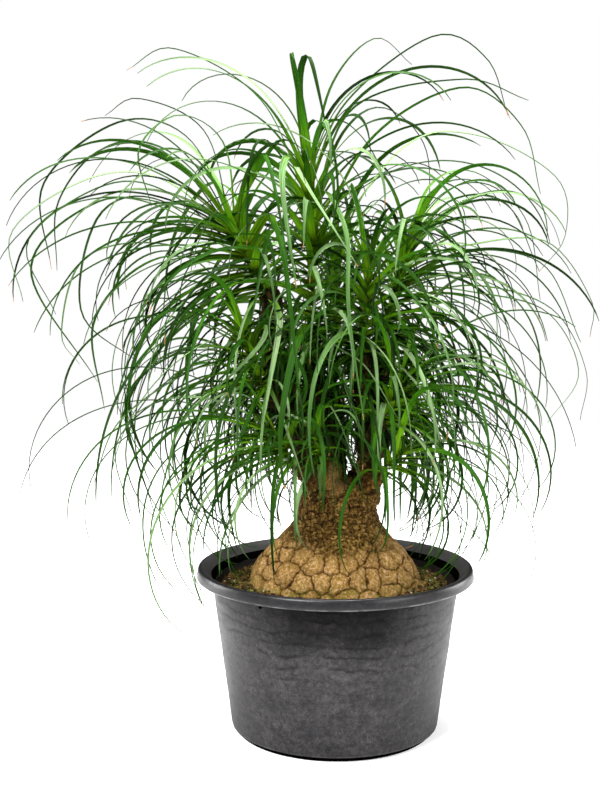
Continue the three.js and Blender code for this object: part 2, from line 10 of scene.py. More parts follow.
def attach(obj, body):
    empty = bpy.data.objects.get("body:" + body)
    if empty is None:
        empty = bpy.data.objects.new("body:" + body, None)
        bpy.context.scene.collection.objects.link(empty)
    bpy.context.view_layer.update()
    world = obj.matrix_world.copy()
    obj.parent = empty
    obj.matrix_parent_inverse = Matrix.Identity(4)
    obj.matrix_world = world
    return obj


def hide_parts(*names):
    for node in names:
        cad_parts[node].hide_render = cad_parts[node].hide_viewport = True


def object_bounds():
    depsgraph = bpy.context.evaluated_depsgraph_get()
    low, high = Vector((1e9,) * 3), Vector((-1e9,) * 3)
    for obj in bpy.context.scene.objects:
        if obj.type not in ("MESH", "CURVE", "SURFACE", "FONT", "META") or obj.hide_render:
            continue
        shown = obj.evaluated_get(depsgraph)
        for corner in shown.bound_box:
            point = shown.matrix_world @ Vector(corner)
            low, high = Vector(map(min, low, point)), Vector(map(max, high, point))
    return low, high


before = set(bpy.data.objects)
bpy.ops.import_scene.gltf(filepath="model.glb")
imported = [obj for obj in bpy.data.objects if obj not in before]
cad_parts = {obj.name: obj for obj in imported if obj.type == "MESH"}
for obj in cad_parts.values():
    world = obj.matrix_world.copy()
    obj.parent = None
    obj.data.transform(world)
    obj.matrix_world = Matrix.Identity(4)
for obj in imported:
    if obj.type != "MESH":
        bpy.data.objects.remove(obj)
cad_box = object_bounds()

# Potted ponytail palm. Sizes below are in millimetres in the part's frame: the pot's foot is at z 0 and the
# plant faces -Y. MM turns them into the scene's metres. Sizes that the part has too are the same there.
MM = 0.001
TURN = 2 * math.pi
MASK = 0xFFFFFFFF

# The camera of the photograph
CAMERA_PLACE = (-43.1, -1539, 574.7)
CAMERA_PITCH = 6.22  # degrees below level
CAMERA_LENS = 57.4  # for 36 mm along the picture's long side

# Pot
POT_HEIGHT = 204
RIM_RADIUS = 170
RIM_DROP = 13  # height of the rolled rim's outer band
LIP_BOTTOM = POT_HEIGHT - RIM_DROP
RIM_TOP = 6  # the upper side starts this far in from the rim's edge
MOUTH_RADIUS = 152
WALL_TOP_RADIUS = 151.5
WALL_FOOT_RADIUS = 127.1
FOOT_RADIUS = 121
WALL_START = 6  # the wall tapers up from here
HEEL = 6.6  # and hides the foot below here
WALL = 2.6
FLOOR = 4
POT_SIDES = 288
WALL_ROWS = 84
FLOOR_RING = 60  # radius of a ring that keeps the floor's faces even
HUB = 0.5  # and of the small face at its middle
RIPPLE = 0.28
DRAIN_HOLES = 6
DRAIN_RADIUS = 6
DRAIN_CIRCLE = 92
HANGER_HOLES = 3
HANGER_RADIUS = 2.4
HANGER_TURN = -36  # degrees from the front to the first of them
HANGER_DROP = 8  # how far they are below the lip
LINE_SPACING = 14  # of the wavy lines round the wall
LINE_WANDER = 30

# Potting mix
SOIL_EDGE = 178
SOIL_MIDDLE = 186
SOIL_SLOPE = 106, 136  # radii between which it falls to its edge
SOIL_INNER = 99  # hidden by the plant's foot
SOIL_OUTER = 146.8
SOIL_RINGS = 30
SOIL_SIDES = 420
SOIL_SKIRT = 20  # how deep the bed's sides go
SOIL_SETBACK = 3.2  # how far the skirt draws in from the wall
SOIL_SHADED = 139, 144  # radii between which it is painted black, as painted shade along the wall
BANK = 8  # how far the mix rises along the wall
BANKED = 141.5, 145  # radii between which it rises
BITS_LIE = 103, 139.5  # radii between which loose bits lie
CHIPS = 2300
PERLITE = 80
TUFTS = 420

# The plant's foot and neck
FOOT_BURIED = 172
FOOT_WIDEST = 104
FOOT_LOBES = 0.012
FOOT_POINT = 122
FOOT_PROFILE = [(FOOT_WIDEST, FOOT_BURIED), (103, 186), (97.5, 200), (90, 213), (77.5, 227), (65, 240)]
FOOT_PROFILE += [(53.5, 254), (47.5, 267), (45.5, 282), (41, 294), (32, 305), (19, 311)]
NECK_SHIFT = 3
NECK_BEND = 225, 275  # heights between which it shifts
NECK_TOP = 313
BARK_LINE = 228, 250  # heights between which plates give way to the neck's bark
BARK_DIP = 15  # how much lower that is, a little to the right of the front
BARK_DIP_TURN = 0.77 * TURN
FOOT_COLUMNS = 520
FOOT_ROWS = 138

# The corky plates that cover the foot
PLATE_COLUMNS = 26
PLATE_ROWS = 7
PLATE_RADIUS = 85
PLATE_JITTER = 0.34
PLATE_RELIEF = 2.6
PLATE_DOME = 0.8
PLATE_SEED = 41
CRACK_WIDTH = 1.5
HAIRLINE_SEED = 43
HAIRLINE_WIDTH = 0.9
AT_ONCE = 10000  # points of the foot worked out together
BARE_WOOD = (-4, -30, 314), (14, 26, 18)  # middle and half size

# Leaves
GOLDEN_ANGLE = math.pi * (3 - math.sqrt(5))
LEAF_STEP = 11
SIDEWAYS = 0.22  # how strongly the leaves gather at the left and right of a crown
OUTWARD = 2  # and how strongly, in a crown that leans, on the side that it leans to
FINER = 0.84  # a leaf's width against that of the part's blade
SLIM = 8  # a crown with leaves under this width keeps their width
CLEAR_FROM = 0.14  # a leaf may touch the stems up to this share of its length
SHOOT_CLEAR_FROM = 0.35  # and a leaf of a shoot up to this one
SHOOT_TINT = 0.4  # the shoots' leaves are darker
LEAST_SHARE = 0.45  # a leaf that is cut shorter than this share is left out
LEAST_POINTS = 6
SPARE = 6  # how far a leaf may pass the part's box
BLADE_THICKNESS = 1.5

# Each crown: seed, foot and tip of its leafy axis, number of leaves, their length and width, and how far from
# straight up an old leaf's tip points, in radians
CROWNS = {
    "top_left": (11, (-80, -5, 530), (-130, -12, 624), 80, 390, 10, 3.6),
    "top_centre": (12, (-26, 0, 440), (-32, -10, 684), 104, 360, 11.5, 3.5),
    "right_inner": (13, (33, -16, 455), (38, -30, 572), 70, 300, 9.5, 3.7),
    "right_outer": (14, (56, 8, 470), (88, 12, 599), 72, 350, 9.5, 3.6),
    "left_middle": (15, (-78, -30, 418), (-112, -34, 484), 46, 345, 7.5, 4.6),
    "left_low": (16, (-46, -31, 333), (-76, -35, 376), 46, 390, 6.5, 4.8),
    "front_low": (17, (-19, -46, 332), (-25, -64, 379), 26, 140, 6.5, 4),
    "right_middle": (18, (50, -32, 378), (76, -36, 431), 56, 330, 7.5, 4.5),
    "right_low": (19, (51, -31, 319), (76, -35, 350), 27, 300, 6.5, 4.8),
    "back_top": (20, (0, 56, 400), (3, 80, 574), 70, 320, 9, 3.6),
    "back_left": (21, (-60, 42, 364), (-91, 62, 419), 40, 300, 7.5, 4.4),
    "back_right": (22, (61, 45, 351), (89, 66, 400), 36, 290, 7.5, 4.4),
}

# The leaves that stand out: share of the crown's axis, depth (y) of the tip, width, and points (x, z)
REACHING = {}
REACHING["top_centre"] = (
    (0.9, -40, 7, (10, 758), (112, 834), (173, 807), (197, 741)),
    (0.9, 60, 7, (-7, 778), (47, 840), (94, 814)),
    (0.7, -70, 8, (16, 749), (142, 782), (215, 755)),
    (0.6, -100, 9, (40, 716), (143, 773), (208, 727), (225, 649)),
    (0.5, 40, 8, (77, 706), (167, 724), (266, 674), (280, 606), (251, 561)),
    (0.75, 62, 9, (7, 724), (57, 757), (110, 710), (117, 601)),
    (0.95, -90, 14, (-44, 773), (-33, 806), (-13, 719)),
    (0.9, -70, 11, (-19, 728), (13, 733), (50, 678), (55, 585)),
    (0.8, 60, 6, (-89, 764), (-194, 828), (-256, 807)),
    (0.9, -80, 9, (-39, 716), (-25, 738), (-8, 715), (0, 654), (-9, 605)),
    (0.9, -190, 12, (-52, 693), (-61, 686), (-62, 649), (-47, 546)),
    (0.85, -200, 10, (-48, 683), (-30, 648), (17, 569)),
    (0.85, -70, 8, (-64, 695), (-87, 716), (-101, 684), (-104, 591)),
    (0.6, -200, 11, (-19, 654), (-2, 638), (10, 596), (10, 518), (24, 408)),
    (0.5, -90, 9, (-3, 641), (19, 654), (31, 611), (38, 557)),
    (0.2, -150, 10, (-15, 483), (4, 472), (32, 454), (64, 403)),
    (0.15, -110, 10, (-12, 453), (2, 452), (15, 413), (39, 351)),
    (0.2, -90, 8, (-37, 474), (-29, 436), (-25, 368)),
)
REACHING["top_left"] = (
    (0.9, 30, 6, (-156, 727), (-235, 767), (-279, 749)),
    (0.8, -70, 8, (-132, 710), (-183, 743), (-228, 703), (-212, 636)),
    (0.8, 70, 8, (-174, 718), (-260, 740), (-357, 668), (-355, 564)),
    (0.7, -120, 8, (-196, 698), (-269, 703), (-316, 641), (-312, 564)),
    (0.6, -30, 8, (-198, 667), (-286, 673), (-382, 610), (-370, 527)),
    (0.5, -80, 8, (-197, 654), (-271, 662), (-357, 597), (-322, 514)),
    (0.4, 50, 8, (-205, 637), (-291, 643), (-372, 563), (-296, 424)),
    (0.4, -60, 10, (-209, 646), (-279, 627), (-299, 516), (-229, 456)),
    (0.3, -100, 8, (-209, 595), (-295, 577), (-318, 493), (-292, 458)),
    (0.3, 100, 8, (-213, 578), (-299, 501), (-296, 383)),
    (0.95, -100, 10, (-78, 704), (-55, 713), (-34, 693), (-22, 659), (-15, 616)),
    (0.9, -180, 11, (-92, 691), (-81, 689), (-69, 644), (-56, 570)),
    (0.6, -210, 14, (-83, 627), (-73, 617), (-60, 573), (-43, 427)),
    (0.5, -190, 9, (-80, 611), (-84, 581), (-95, 509)),
    (0.1, -190, 11, (-70, 518), (-67, 499), (-75, 451), (-84, 397)),
    (0.5, 220, 9, (-120, 650), (-160, 668), (-210, 600), (-232, 500)),
)
REACHING["right_outer"] = (
    (0.9, -60, 8, (137, 646), (198, 642), (233, 563)),
    (0.8, 40, 8, (157, 593), (256, 598), (314, 527), (316, 481)),
    (0.7, -90, 8, (143, 587), (238, 572), (276, 483)),
    (0.6, -120, 11, (161, 538), (246, 516), (278, 447), (234, 394)),
    (0.4, 70, 7, (164, 545), (265, 517), (314, 439), (313, 374)),
    (0.3, -100, 10, (161, 521), (220, 422), (206, 358)),
    (0.95, 80, 8, (115, 666), (171, 682), (237, 625), (261, 526)),
    (0.3, -150, 11, (67, 513), (79, 499), (88, 472), (86, 436)),
    (0.6, 215, 9, (104, 610), (132, 622), (168, 560), (184, 470)),
)
REACHING["left_middle"] = (
    (0.7, -70, 8, (-173, 445), (-255, 387), (-285, 313)),
    (0.6, 60, 8, (-169, 473), (-256, 404), (-228, 253)),
    (0.4, -40, 8, (-174, 432), (-260, 361), (-241, 263)),
    (0.9, -150, 9, (-83, 502), (-87, 482), (-115, 452), (-139, 433)),
    (0.1, -90, 9, (-84, 427), (-99, 403), (-121, 345)),
    (0.2, -130, 8, (-76, 420), (-58, 379), (-32, 308)),
)
REACHING["left_low"] = (
    (0.6, -70, 8, (-162, 391), (-206, 303), (-181, 240)),
    (0.4, 40, 8, (-158, 358), (-191, 281), (-165, 221)),
)
REACHING["right_middle"] = (
    (0.7, -60, 9, (124, 394), (179, 320), (158, 239)),
    (0.5, 60, 8, (139, 376), (213, 298), (192, 195)),
)
REACHING["right_low"] = ((0.6, -80, 8, (102, 311), (153, 267), (196, 214)),)
REACHING["front_low"] = ((0.9, -100, 9, (-14, 407), (-4, 401), (12, 365), (32, 302)),)
REACHING["back_top"] = (
    (0.8, 240, 9, (4, 650), (12, 668), (24, 620), (34, 520)),
    (0.6, 230, 9, (-14, 600), (-38, 616), (-70, 560), (-84, 470)),
    (0.5, 225, 9, (24, 570), (60, 590), (100, 530), (118, 440)),
)

# The short leaves that hide the stems below some crowns, in the same form as the crowns
SHOOTS = {
    "top_left": (31, (-44, -3, 385), (-98, -6, 560), 150, 170, 7, 4.2),
    "top_centre": (32, (-14, 0, 375), (-34, 0, 560), 140, 170, 7.5, 4.2),
    "right_inner": (33, (40, 0, 365), (34, -12, 540), 150, 160, 7, 4.2),
    "right_outer": (34, (46, 2, 370), (64, 10, 510), 90, 160, 7, 4.2),
    "back_top": (35, (-3, 25, 300), (0, 76, 500), 70, 180, 7, 4.2),
}

# Each stem: the points on its way to its crown's foot, the crown, and its radius at both ends
STEMS = (
    (((-12, 0, 285), (-28, -2, 345), (-56, -4, 415), (-76, -5, 475)), "top_left", (20, 12)),
    (((-8, -2, 285), (-14, 2, 350)), "top_centre", (20, 13)),
    (((38, 0, 280), (42, 1, 330), (38, -4, 390)), "right_inner", (16, 12)),
    (((-4, 18, 280), (-2, 42, 350)), "back_top", (20, 12)),
    (((42, 0, 350), (50, 6, 420)), "right_outer", (14, 11)),
    (((-46, -4, 385),), "left_middle", (13, 9)),
    (((-20, -4, 305),), "left_low", (13, 8)),
    (((-8, -14, 300),), "front_low", (12, 8)),
    (((42, -4, 345),), "right_middle", (12, 8)),
    (((34, -6, 290),), "right_low", (12, 8)),
    (((-8, 20, 306),), "back_left", (14, 9)),
    (((22, 20, 300),), "back_right", (13, 9)),
)

# Each light: its name, its place and what it faces, in metres, its width and its power
LIGHTS = (
    ("key", (-1.4, -1.9, 2.4), (0, 0, 0.4), 1, 150),
    ("fill", (2, -1.7, 1.3), (0, 0, 0.4), 1.1, 42),
    ("top", (0.1, 0.2, 2.6), (0, 0, 0.4), 1.2, 150),
    ("left", (-1.9, 0.7, 0.6), (0, 0, 0.2), 1, 34),
    ("right", (1.9, 0.8, 0.6), (0, 0, 0.2), 1, 30),
)


def random_from(seed):
    """A run of random numbers from 0 to 1, the same as the part's."""
    state = seed & MASK

    def draw():
        nonlocal state
        state = (state + 0x6D2B79F5) & MASK
        t = state
        t = ((t ^ (t >> 15)) * (t | 1)) & MASK
        t = (t ^ ((t + ((t ^ (t >> 7)) * (t | 61))) & MASK)) & MASK
        return ((t ^ (t >> 14)) & MASK) / 4294967296

    return draw


def mix(a, b, share):
    return a + (b - a) * share


def smoothstep(value, low, high):
    share = np.clip((value - low) / (high - low), 0, 1)
    return share * share * (3 - 2 * share)


def unit(v):
    return v / np.linalg.norm(v, axis=-1, keepdims=True)


def noise_at(points, size, seed=0.0):
    """Smooth noise from about -1 to 1 at each point. size is the width of its lumps, or one for each axis."""
    scaled = points / np.asarray(size, float) + seed
    return np.array([noise.noise(p) for p in scaled.tolist()])


def turned(vectors, axes, angles):
    """Each vector turned about its own unit axis, or all about one."""
    cos, sin = np.cos(angles)[..., None], np.sin(angles)[..., None]
    along = (vectors * axes).sum(-1, keepdims=True)
    return vectors * cos + np.cross(axes, vectors) * sin + axes * along * (1 - cos)


# Meshes


def ring_quads(rings, sides, start=0):
    """The quads of a skin over rings of points."""
    low = start + np.arange(rings - 1)[:, None] * sides
    side = np.arange(sides)[None, :]
    after = (side + 1) % sides
    quads = [low + side, low + after, low + sides + after, low + sides + side]
    return np.stack(quads, -1).reshape(-1, 4)


def around(radius, turn, z):
    return (radius * math.cos(turn), radius * math.sin(turn), z)


def rings_of(profile, sides):
    """Points on rings round the axis, of given radii and heights, and each point's radius and height."""
    radius, height = [np.repeat(column, sides) for column in np.transpose(profile)]
    turn = np.tile(np.linspace(0, TURN, sides, endpoint=False), len(profile))
    return np.stack([radius * np.cos(turn), radius * np.sin(turn), height], 1), radius, height


def new_object(name, data):
    made = bpy.data.objects.new(name, data)
    bpy.context.scene.collection.objects.link(made)
    return made


def piece(name, points, faces, material, slot, *nodes):
    """A new piece of the plant or pot, from points in millimetres."""
    mesh = bpy.data.meshes.new(name)
    mesh.from_pydata((np.asarray(points) * MM).tolist(), [], [list(map(int, f)) for f in faces])
    mesh.materials.append(material)
    mesh.shade_smooth()
    made = new_object(name, mesh)
    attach(made, "root")
    if nodes:
        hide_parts(*nodes)
    return made


def paint(made, name, values):
    """Stores up to three numbers for each point of a piece, for its material to read."""
    colours = np.ones((len(made.data.vertices), 4), np.float32)
    values = np.asarray(values, np.float32)
    colours[:, : values.shape[1]] = values
    made.data.color_attributes.new(name, "FLOAT_COLOR", "POINT").data.foreach_set("color", colours.ravel())


# Materials


class Nodes:
    """Adds nodes to a tree."""

    def __init__(self, tree):
        self.tree = tree

    def feed(self, node, inputs):
        """Links or sets inputs of a node."""
        for key, value in inputs.items():
            if isinstance(value, bpy.types.NodeSocket):
                self.tree.links.new(value, node.inputs[key])
            else:
                node.inputs[key].default_value = value

    def add(self, kind, inputs=None, **settings):
        made = self.tree.nodes.new(kind)
        for key, value in settings.items():
            setattr(made, key, value)
        self.feed(made, inputs or {})
        return made

    def maths(self, operation, a, b=0.0, c=0.0):
        return self.add("ShaderNodeMath", {0: a, 1: b, 2: c}, operation=operation).outputs[0]

    def times(self, a, b):
        return self.maths("MULTIPLY", a, b)

    def line(self, x, slope, start):
        """x times slope plus start."""
        return self.maths("MULTIPLY_ADD", x, slope, start)

    def parts(self, vector):
        return self.add("ShaderNodeSeparateXYZ", {0: vector}).outputs

    def ramp(self, value, *stops):
        """A colour or a share that runs through stops of (place, red, green, blue) or (place, share)."""
        made = self.add("ShaderNodeValToRGB", {"Fac": value})
        elements = made.color_ramp.elements
        while len(elements) < len(stops):
            elements.new(0.5)
        for element, (place, *colour) in zip(elements, stops):
            element.position = place
            element.color = (*(colour * 3)[:3], 1)
        return made.outputs["Color"]

    def ramp_over(self, reach, value, *stops):
        """A ramp over a length from 0 to a reach. The reach and the stops' places are in millimetres."""
        shares = [(place / reach, *colour) for place, *colour in stops]
        return self.ramp(self.maths("DIVIDE", value, reach * MM), *shares)

    def blend(self, share, a, b, kind="MIX"):
        made = self.add("ShaderNodeMix", {0: share, 6: a, 7: b}, data_type="RGBA", blend_type=kind)
        return made.outputs[2]

    def tinted(self, share, colour, tint):
        return self.blend(share, colour, tint, "MULTIPLY")


class Coat(Nodes):
    """A material in the making."""

    def __init__(self, name):
        self.material = bpy.data.materials.new(name)
        self.material.use_nodes = True
        super().__init__(self.material.node_tree)
        self.where = self.add("ShaderNodeTexCoord").outputs["Object"]

    def clouds(self, size, detail=3.0, roughness=0.55, stretch=(1, 1, 1)):
        """Noise with lumps of about a size in millimetres, stretched along the axes."""
        scaled = self.add("ShaderNodeMapping", {"Vector": self.where, "Scale": [1 / s for s in stretch]})
        inputs = {"Vector": scaled.outputs[0], "Scale": 1 / (size * MM), "Detail": detail}
        return self.add("ShaderNodeTexNoise", {**inputs, "Roughness": roughness}).outputs[0]

    def painted(self, name):
        """The three numbers that paint() stored."""
        colour = self.add("ShaderNodeAttribute", attribute_name=name).outputs["Color"]
        return self.add("ShaderNodeSeparateColor", {0: colour}).outputs[:3]

    def bump(self, height, millimetres, strength=1.0):
        inputs = {"Height": height, "Distance": millimetres * MM, "Strength": strength}
        return self.add("ShaderNodeBump", inputs).outputs[0]

    def finished(self, inputs):
        """The material, once these inputs of its shader are linked or set."""
        self.feed(self.tree.nodes["Principled BSDF"], inputs)
        return self.material


def wavy_lines(coat, height, wander):
    """Dark lines that run round the upper wall."""
    lines = coat.times(coat.maths("ADD", height, wander), TURN / (LINE_SPACING * MM))
    lines = coat.ramp(coat.maths("SINE", lines), (0.1, 0), (0.8, 0.35), (0.93, 1), (1, 0.8))
    lines = coat.times(lines, coat.ramp(coat.clouds(45, 2), (0.42, 0), (0.55, 1)))
    return coat.times(lines, coat.ramp_over(200, height, (60, 0), (120, 1)))


def wall_shade(coat, x, level):
    """Painted shade: the wall is darker under the rim, most of all in the middle of the front and back."""
    ends = coat.ramp_over(200, level, (140, 1), (172, 0.8), (200, 0.6))
    middle = coat.ramp_over(200, level, (128, 1), (144, 0.78), (160, 0.4), (200, 0.18))
    aside = coat.ramp_over(100, coat.maths("ABSOLUTE", x), (50, 0), (100, 1))
    return coat.blend(aside, middle, ends)


def scuffs_and_highlights(coat, radius, height):
    """Pale lines along the lip's lower edge and the heel, partly scuffs and partly painted highlight where
    these edges catch the light.
    """
    lip = coat.maths("COMPARE", height, (LIP_BOTTOM + 0.4) * MM, 0.9 * MM)
    lip = coat.times(lip, coat.maths("GREATER_THAN", radius, (RIM_RADIUS - WALL) * MM))
    heel = coat.maths("COMPARE", height, (HEEL + 1) * MM, 0.7 * MM)
    scuffs = coat.ramp(coat.clouds(30, 4, 0.6), (0.42, 0.05), (0.6, 0.8))
    return coat.times(coat.line(heel, 0.3, lip), scuffs)


def pot_inside(coat, radius, height, rim):
    """1 on the pot's inside and on the foot below the heel, which are painted black as painted shade, and 0
    elsewhere.
    """
    slant = (WALL_TOP_RADIUS - WALL_FOOT_RADIUS) / LIP_BOTTOM
    wall = coat.line(height, slant, (WALL_FOOT_RADIUS - 1.8) * MM)
    inside = coat.maths("LESS_THAN", radius, wall)
    mouth = coat.maths("LESS_THAN", radius, (MOUTH_RADIUS + 0.1) * MM)
    inside = coat.maths("MAXIMUM", inside, coat.times(rim, mouth))
    return coat.maths("MAXIMUM", inside, coat.maths("LESS_THAN", height, HEEL * MM))


def plastic_material():
    coat = Coat("dark plastic")
    mottle = coat.clouds(22, 6, 0.62, (1, 1, 0.8))
    streaks = coat.clouds(34, 5, 0.6, (1, 1, 0.16))
    fine = coat.clouds(2.2, 4, 0.7)
    x, y, height = coat.parts(coat.where)
    radius = coat.maths("SQRT", coat.line(x, x, coat.times(y, y)))
    rim = coat.maths("GREATER_THAN", height, (LIP_BOTTOM - 1) * MM)
    on_top = coat.maths("LESS_THAN", radius, (RIM_RADIUS - RIM_TOP) * MM)
    inside = pot_inside(coat, radius, height, rim)
    # The rim's upper side is painted lighter, as painted light from above, and its outer face darker, as
    # painted shade
    painted_rim_light = coat.maths("SUBTRACT", 1.1, coat.times(rim, coat.maths("SUBTRACT", 0.4, on_top)))
    greys = (0.3, 0.011, 0.0105, 0.0115), (0.5, 0.017, 0.016, 0.017), (0.72, 0.03, 0.028, 0.028)
    base = coat.ramp(coat.times(mottle, painted_rim_light), *greys)
    base = coat.tinted(0.35, base, coat.ramp(streaks, (0.35, 0.65), (0.65, 1.3)))
    patches = coat.ramp(coat.clouds(6, 5, 0.7), (0.38, 0.5), (0.62, 1.7))
    base = coat.tinted(coat.line(rim, -0.5, 0.9), base, patches)
    base = coat.tinted(0.7, base, coat.ramp(fine, (0.35, 0.45), (0.7, 1.8)))
    wander = coat.times(coat.clouds(55, 6, 0.62), LINE_WANDER * MM)
    lines = coat.times(wavy_lines(coat, height, wander), coat.line(rim, -1, 1))
    base = coat.blend(coat.times(lines, 0.5), base, (0.003, 0.003, 0.003, 1))
    # Painted shade under the rim, with the wavy lines, darkens the wall's colour and its gloss
    shade = wall_shade(coat, x, coat.line(wander, 0.8, height))
    shade = coat.blend(rim, shade, (1, 1, 1, 1))
    shade = coat.times(shade, coat.line(lines, -0.3, 1))
    base = coat.tinted(1, base, shade)
    # Painted light: a paler band on the rim's upper side, as if lit from above
    ring = coat.times(rim, on_top)
    base = coat.blend(coat.times(ring, 0.6), base, (0.07, 0.068, 0.068, 1))
    specks = coat.ramp(coat.clouds(1.1, 1, 0.5), (0.7, 0), (0.76, 1))
    specks = coat.times(specks, coat.line(rim, -0.2, 0.35))
    base = coat.blend(coat.times(specks, shade), base, (0.22, 0.21, 0.2, 1))
    # Pale lines at the lip's lower edge and the heel: partly scuffs, partly painted highlight
    base = coat.blend(scuffs_and_highlights(coat, radius, height), base, (0.15, 0.147, 0.145, 1))
    # Painted shade: the pot's inside and the foot below the heel are painted near black and lose their gloss
    base = coat.blend(inside, base, (0.0012, 0.0012, 0.001, 1))
    rough = coat.blend(rim, coat.ramp(mottle, (0.3, 0.36), (0.7, 0.54)), (0.34, 0.34, 0.34, 1))
    gloss = coat.line(rim, 0.06, 0.22)
    gloss = coat.times(gloss, coat.line(inside, -1, 1))
    inputs = {
        "Base Color": base,
        "Roughness": coat.line(inside, 0.5, rough),
        "Specular IOR Level": coat.times(gloss, shade),
        "Normal": coat.bump(coat.maths("ADD", fine, coat.times(streaks, 0.7)), 0.12),
    }
    return coat.finished(inputs)


def bark_material():
    coat = Coat("bark")
    height, upper, plate = coat.painted("bark")
    grain = coat.clouds(3.2, 6, 0.68)
    pores = coat.clouds(1.3, 3, 0.6)
    wrinkles = coat.clouds(5, 6, 0.75, (1, 1, 0.8))
    fibres = coat.clouds(3, 4, 0.65, (1, 1, 3.5))
    rugged = coat.line(fibres, 0.45, coat.times(wrinkles, 0.55))
    tans = (0.3, 0.115, 0.065, 0.006), (0.5, 0.29, 0.175, 0.047), (0.72, 0.63, 0.43, 0.27)
    browns = (0.36, 0.01, 0.006, 0.001), (0.49, 0.085, 0.05, 0.008), (0.62, 0.34, 0.21, 0.06)
    base = coat.blend(upper, coat.ramp(grain, *tans), coat.ramp(rugged, *browns))
    # The third number is each plate's own tone with painted shade towards its cracks, and on the stems
    # painted shade that darkens them towards their crowns
    base = coat.tinted(1, base, coat.ramp(plate, (0, 0.7, 0.63, 0.5), (1, 1.2, 1.2, 1.27)))
    worn = coat.ramp(coat.clouds(26, 4, 0.55), (0.3, 0.7, 0.66, 0.6), (0.7, 1.12, 1.12, 1.12))
    base = coat.tinted(0.8, base, worn)
    crack = coat.ramp(height, (0, 0.13, 0.1, 0.07), (0.45, 0.5, 0.44, 0.36), (0.8, 1, 1, 1))
    base = coat.tinted(1, base, crack)
    base = coat.tinted(0.6, base, coat.ramp(pores, (0.3, 0.35), (0.42, 1)))
    # The stems above the fork are painted darker and greener, as painted shade under the leaves
    up = coat.parts(coat.where)[2]
    base = coat.tinted(1, base, coat.ramp_over(500, up, (315, 1, 1, 1), (350, 0.3, 0.42, 0.4)))
    # Moss grows on the foot just above the mix
    moss = coat.ramp(coat.clouds(8, 5, 0.7), (0.46, 0), (0.6, 1))
    moss = coat.times(coat.ramp_over(300, up, (186, 1), (205.5, 0)), moss)
    inputs = {
        "Base Color": coat.blend(coat.times(moss, 0.75), base, (0.1, 0.105, 0.012, 1)),
        "Roughness": 0.92,
        "Specular IOR Level": 0.1,
        "Normal": coat.bump(coat.maths("ADD", grain, coat.times(pores, 0.4)), 1.1),
    }
    return coat.finished(inputs)


def leaf_material():
    coat = Coat("leaf")
    along, tint, dry = coat.painted("leaf")
    across, down, _ = coat.parts(coat.add("ShaderNodeUVMap", uv_map="Blade").outputs[0])
    scaled = {0: coat.times(across, 22), 1: coat.times(down, 5), 2: coat.times(tint, 40)}
    veins = coat.add("ShaderNodeCombineXYZ", scaled).outputs[0]
    veins = coat.add("ShaderNodeTexNoise", {"Vector": veins, "Scale": 1, "Detail": 3}).outputs[0]
    # Near their foot the leaves are a brighter yellow-green, partly their young colour and partly painted
    # light shining through them
    deep = [(0, 0.13, 0.25, 0.006), (0.15, 0.09, 0.24, 0.003), (0.32, 0.028, 0.125, 0.0003)]
    deep += [(0.5, 0.013, 0.07, 0.0002), (0.9, 0.014, 0.055, 0.002)]
    sheen_greens = [(0, 0.15, 0.27, 0.01), (0.12, 0.11, 0.25, 0.03), (0.3, 0.24, 0.35, 0.16)]
    sheen_greens += [(0.5, 0.18, 0.28, 0.12), (0.85, 0.07, 0.125, 0.045)]
    # Painted sheen: on some leaves the upper side takes the pale sage greens, as if lit, while the underside
    # keeps the deep greens
    under = coat.maths("GREATER_THAN", across, 0.5)
    share = coat.blend(under, coat.ramp(tint, (0.55, 0.03), (0.85, 0.95)), (0.02, 0.02, 0.02, 1))
    base = coat.blend(share, coat.ramp(along, *deep), coat.ramp(along, *sheen_greens))
    base = coat.tinted(0.9, base, coat.ramp(veins, (0.36, 0.5), (0.62, 1.5)))
    base = coat.tinted(1, base, coat.ramp(tint, (0, 0.3), (0.5, 1), (1, 1.15)))
    brown = coat.blend(veins, (0.16, 0.07, 0.02, 1), (0.36, 0.2, 0.08, 1))
    inputs = {
        "Base Color": coat.blend(coat.maths("GREATER_THAN", dry, 0.5), base, brown),
        "Roughness": coat.ramp(veins, (0.3, 0.45), (0.7, 0.6)),
        "IOR": 1.25,
        "Specular IOR Level": 0.16,
        "Normal": coat.bump(veins, 0.25, 0.6),
    }
    return coat.finished(inputs)


def soil_material(name, dark, light, size):
    """Loose stuff: each piece takes its own shade between dark and light."""
    coat = Coat(name)
    base = coat.blend(coat.painted("shade")[0], (*dark, 1), (*light, 1))
    grain = coat.clouds(size, 5, 0.7)
    inputs = {
        "Base Color": coat.tinted(0.8, base, coat.ramp(grain, (0.3, 0.45), (0.7, 1.6))),
        "Roughness": 0.95,
        "Specular IOR Level": 0.2,
        "Normal": coat.bump(grain, size / 2),
    }
    return coat.finished(inputs)


# Pot


def cut_holes(pot):
    """Drain holes through the floor and small holes through the wall under the rim."""
    drills = []
    for i in range(DRAIN_HOLES):
        turn = math.radians(90 + (i + 0.5) * 360 / DRAIN_HOLES)
        drills.append((around(DRAIN_CIRCLE, turn, 0), (0, 0, 0), DRAIN_RADIUS, 4 * FLOOR))
    for i in range(HANGER_HOLES):
        turn = math.radians(HANGER_TURN - 90 + i * 360 / HANGER_HOLES)
        place = around(WALL_TOP_RADIUS, turn, LIP_BOTTOM - HANGER_DROP)
        drills.append((place, (0, math.pi / 2, turn), HANGER_RADIUS, 6 * WALL))
    for place, rotation, radius, length in drills:
        bpy.ops.mesh.primitive_cylinder_add(vertices=24, radius=radius * MM, depth=length * MM)
        drill = bpy.context.object
        drill.location = Vector(place) * MM
        drill.rotation_euler = rotation
        modifier = pot.modifiers.new("hole", "BOOLEAN")
        modifier.operation = "DIFFERENCE"
        modifier.solver = "EXACT"
        modifier.object = drill
        bpy.context.view_layer.objects.active = pot
        bpy.ops.object.modifier_apply(modifier=modifier.name)
        bpy.data.objects.remove(drill)


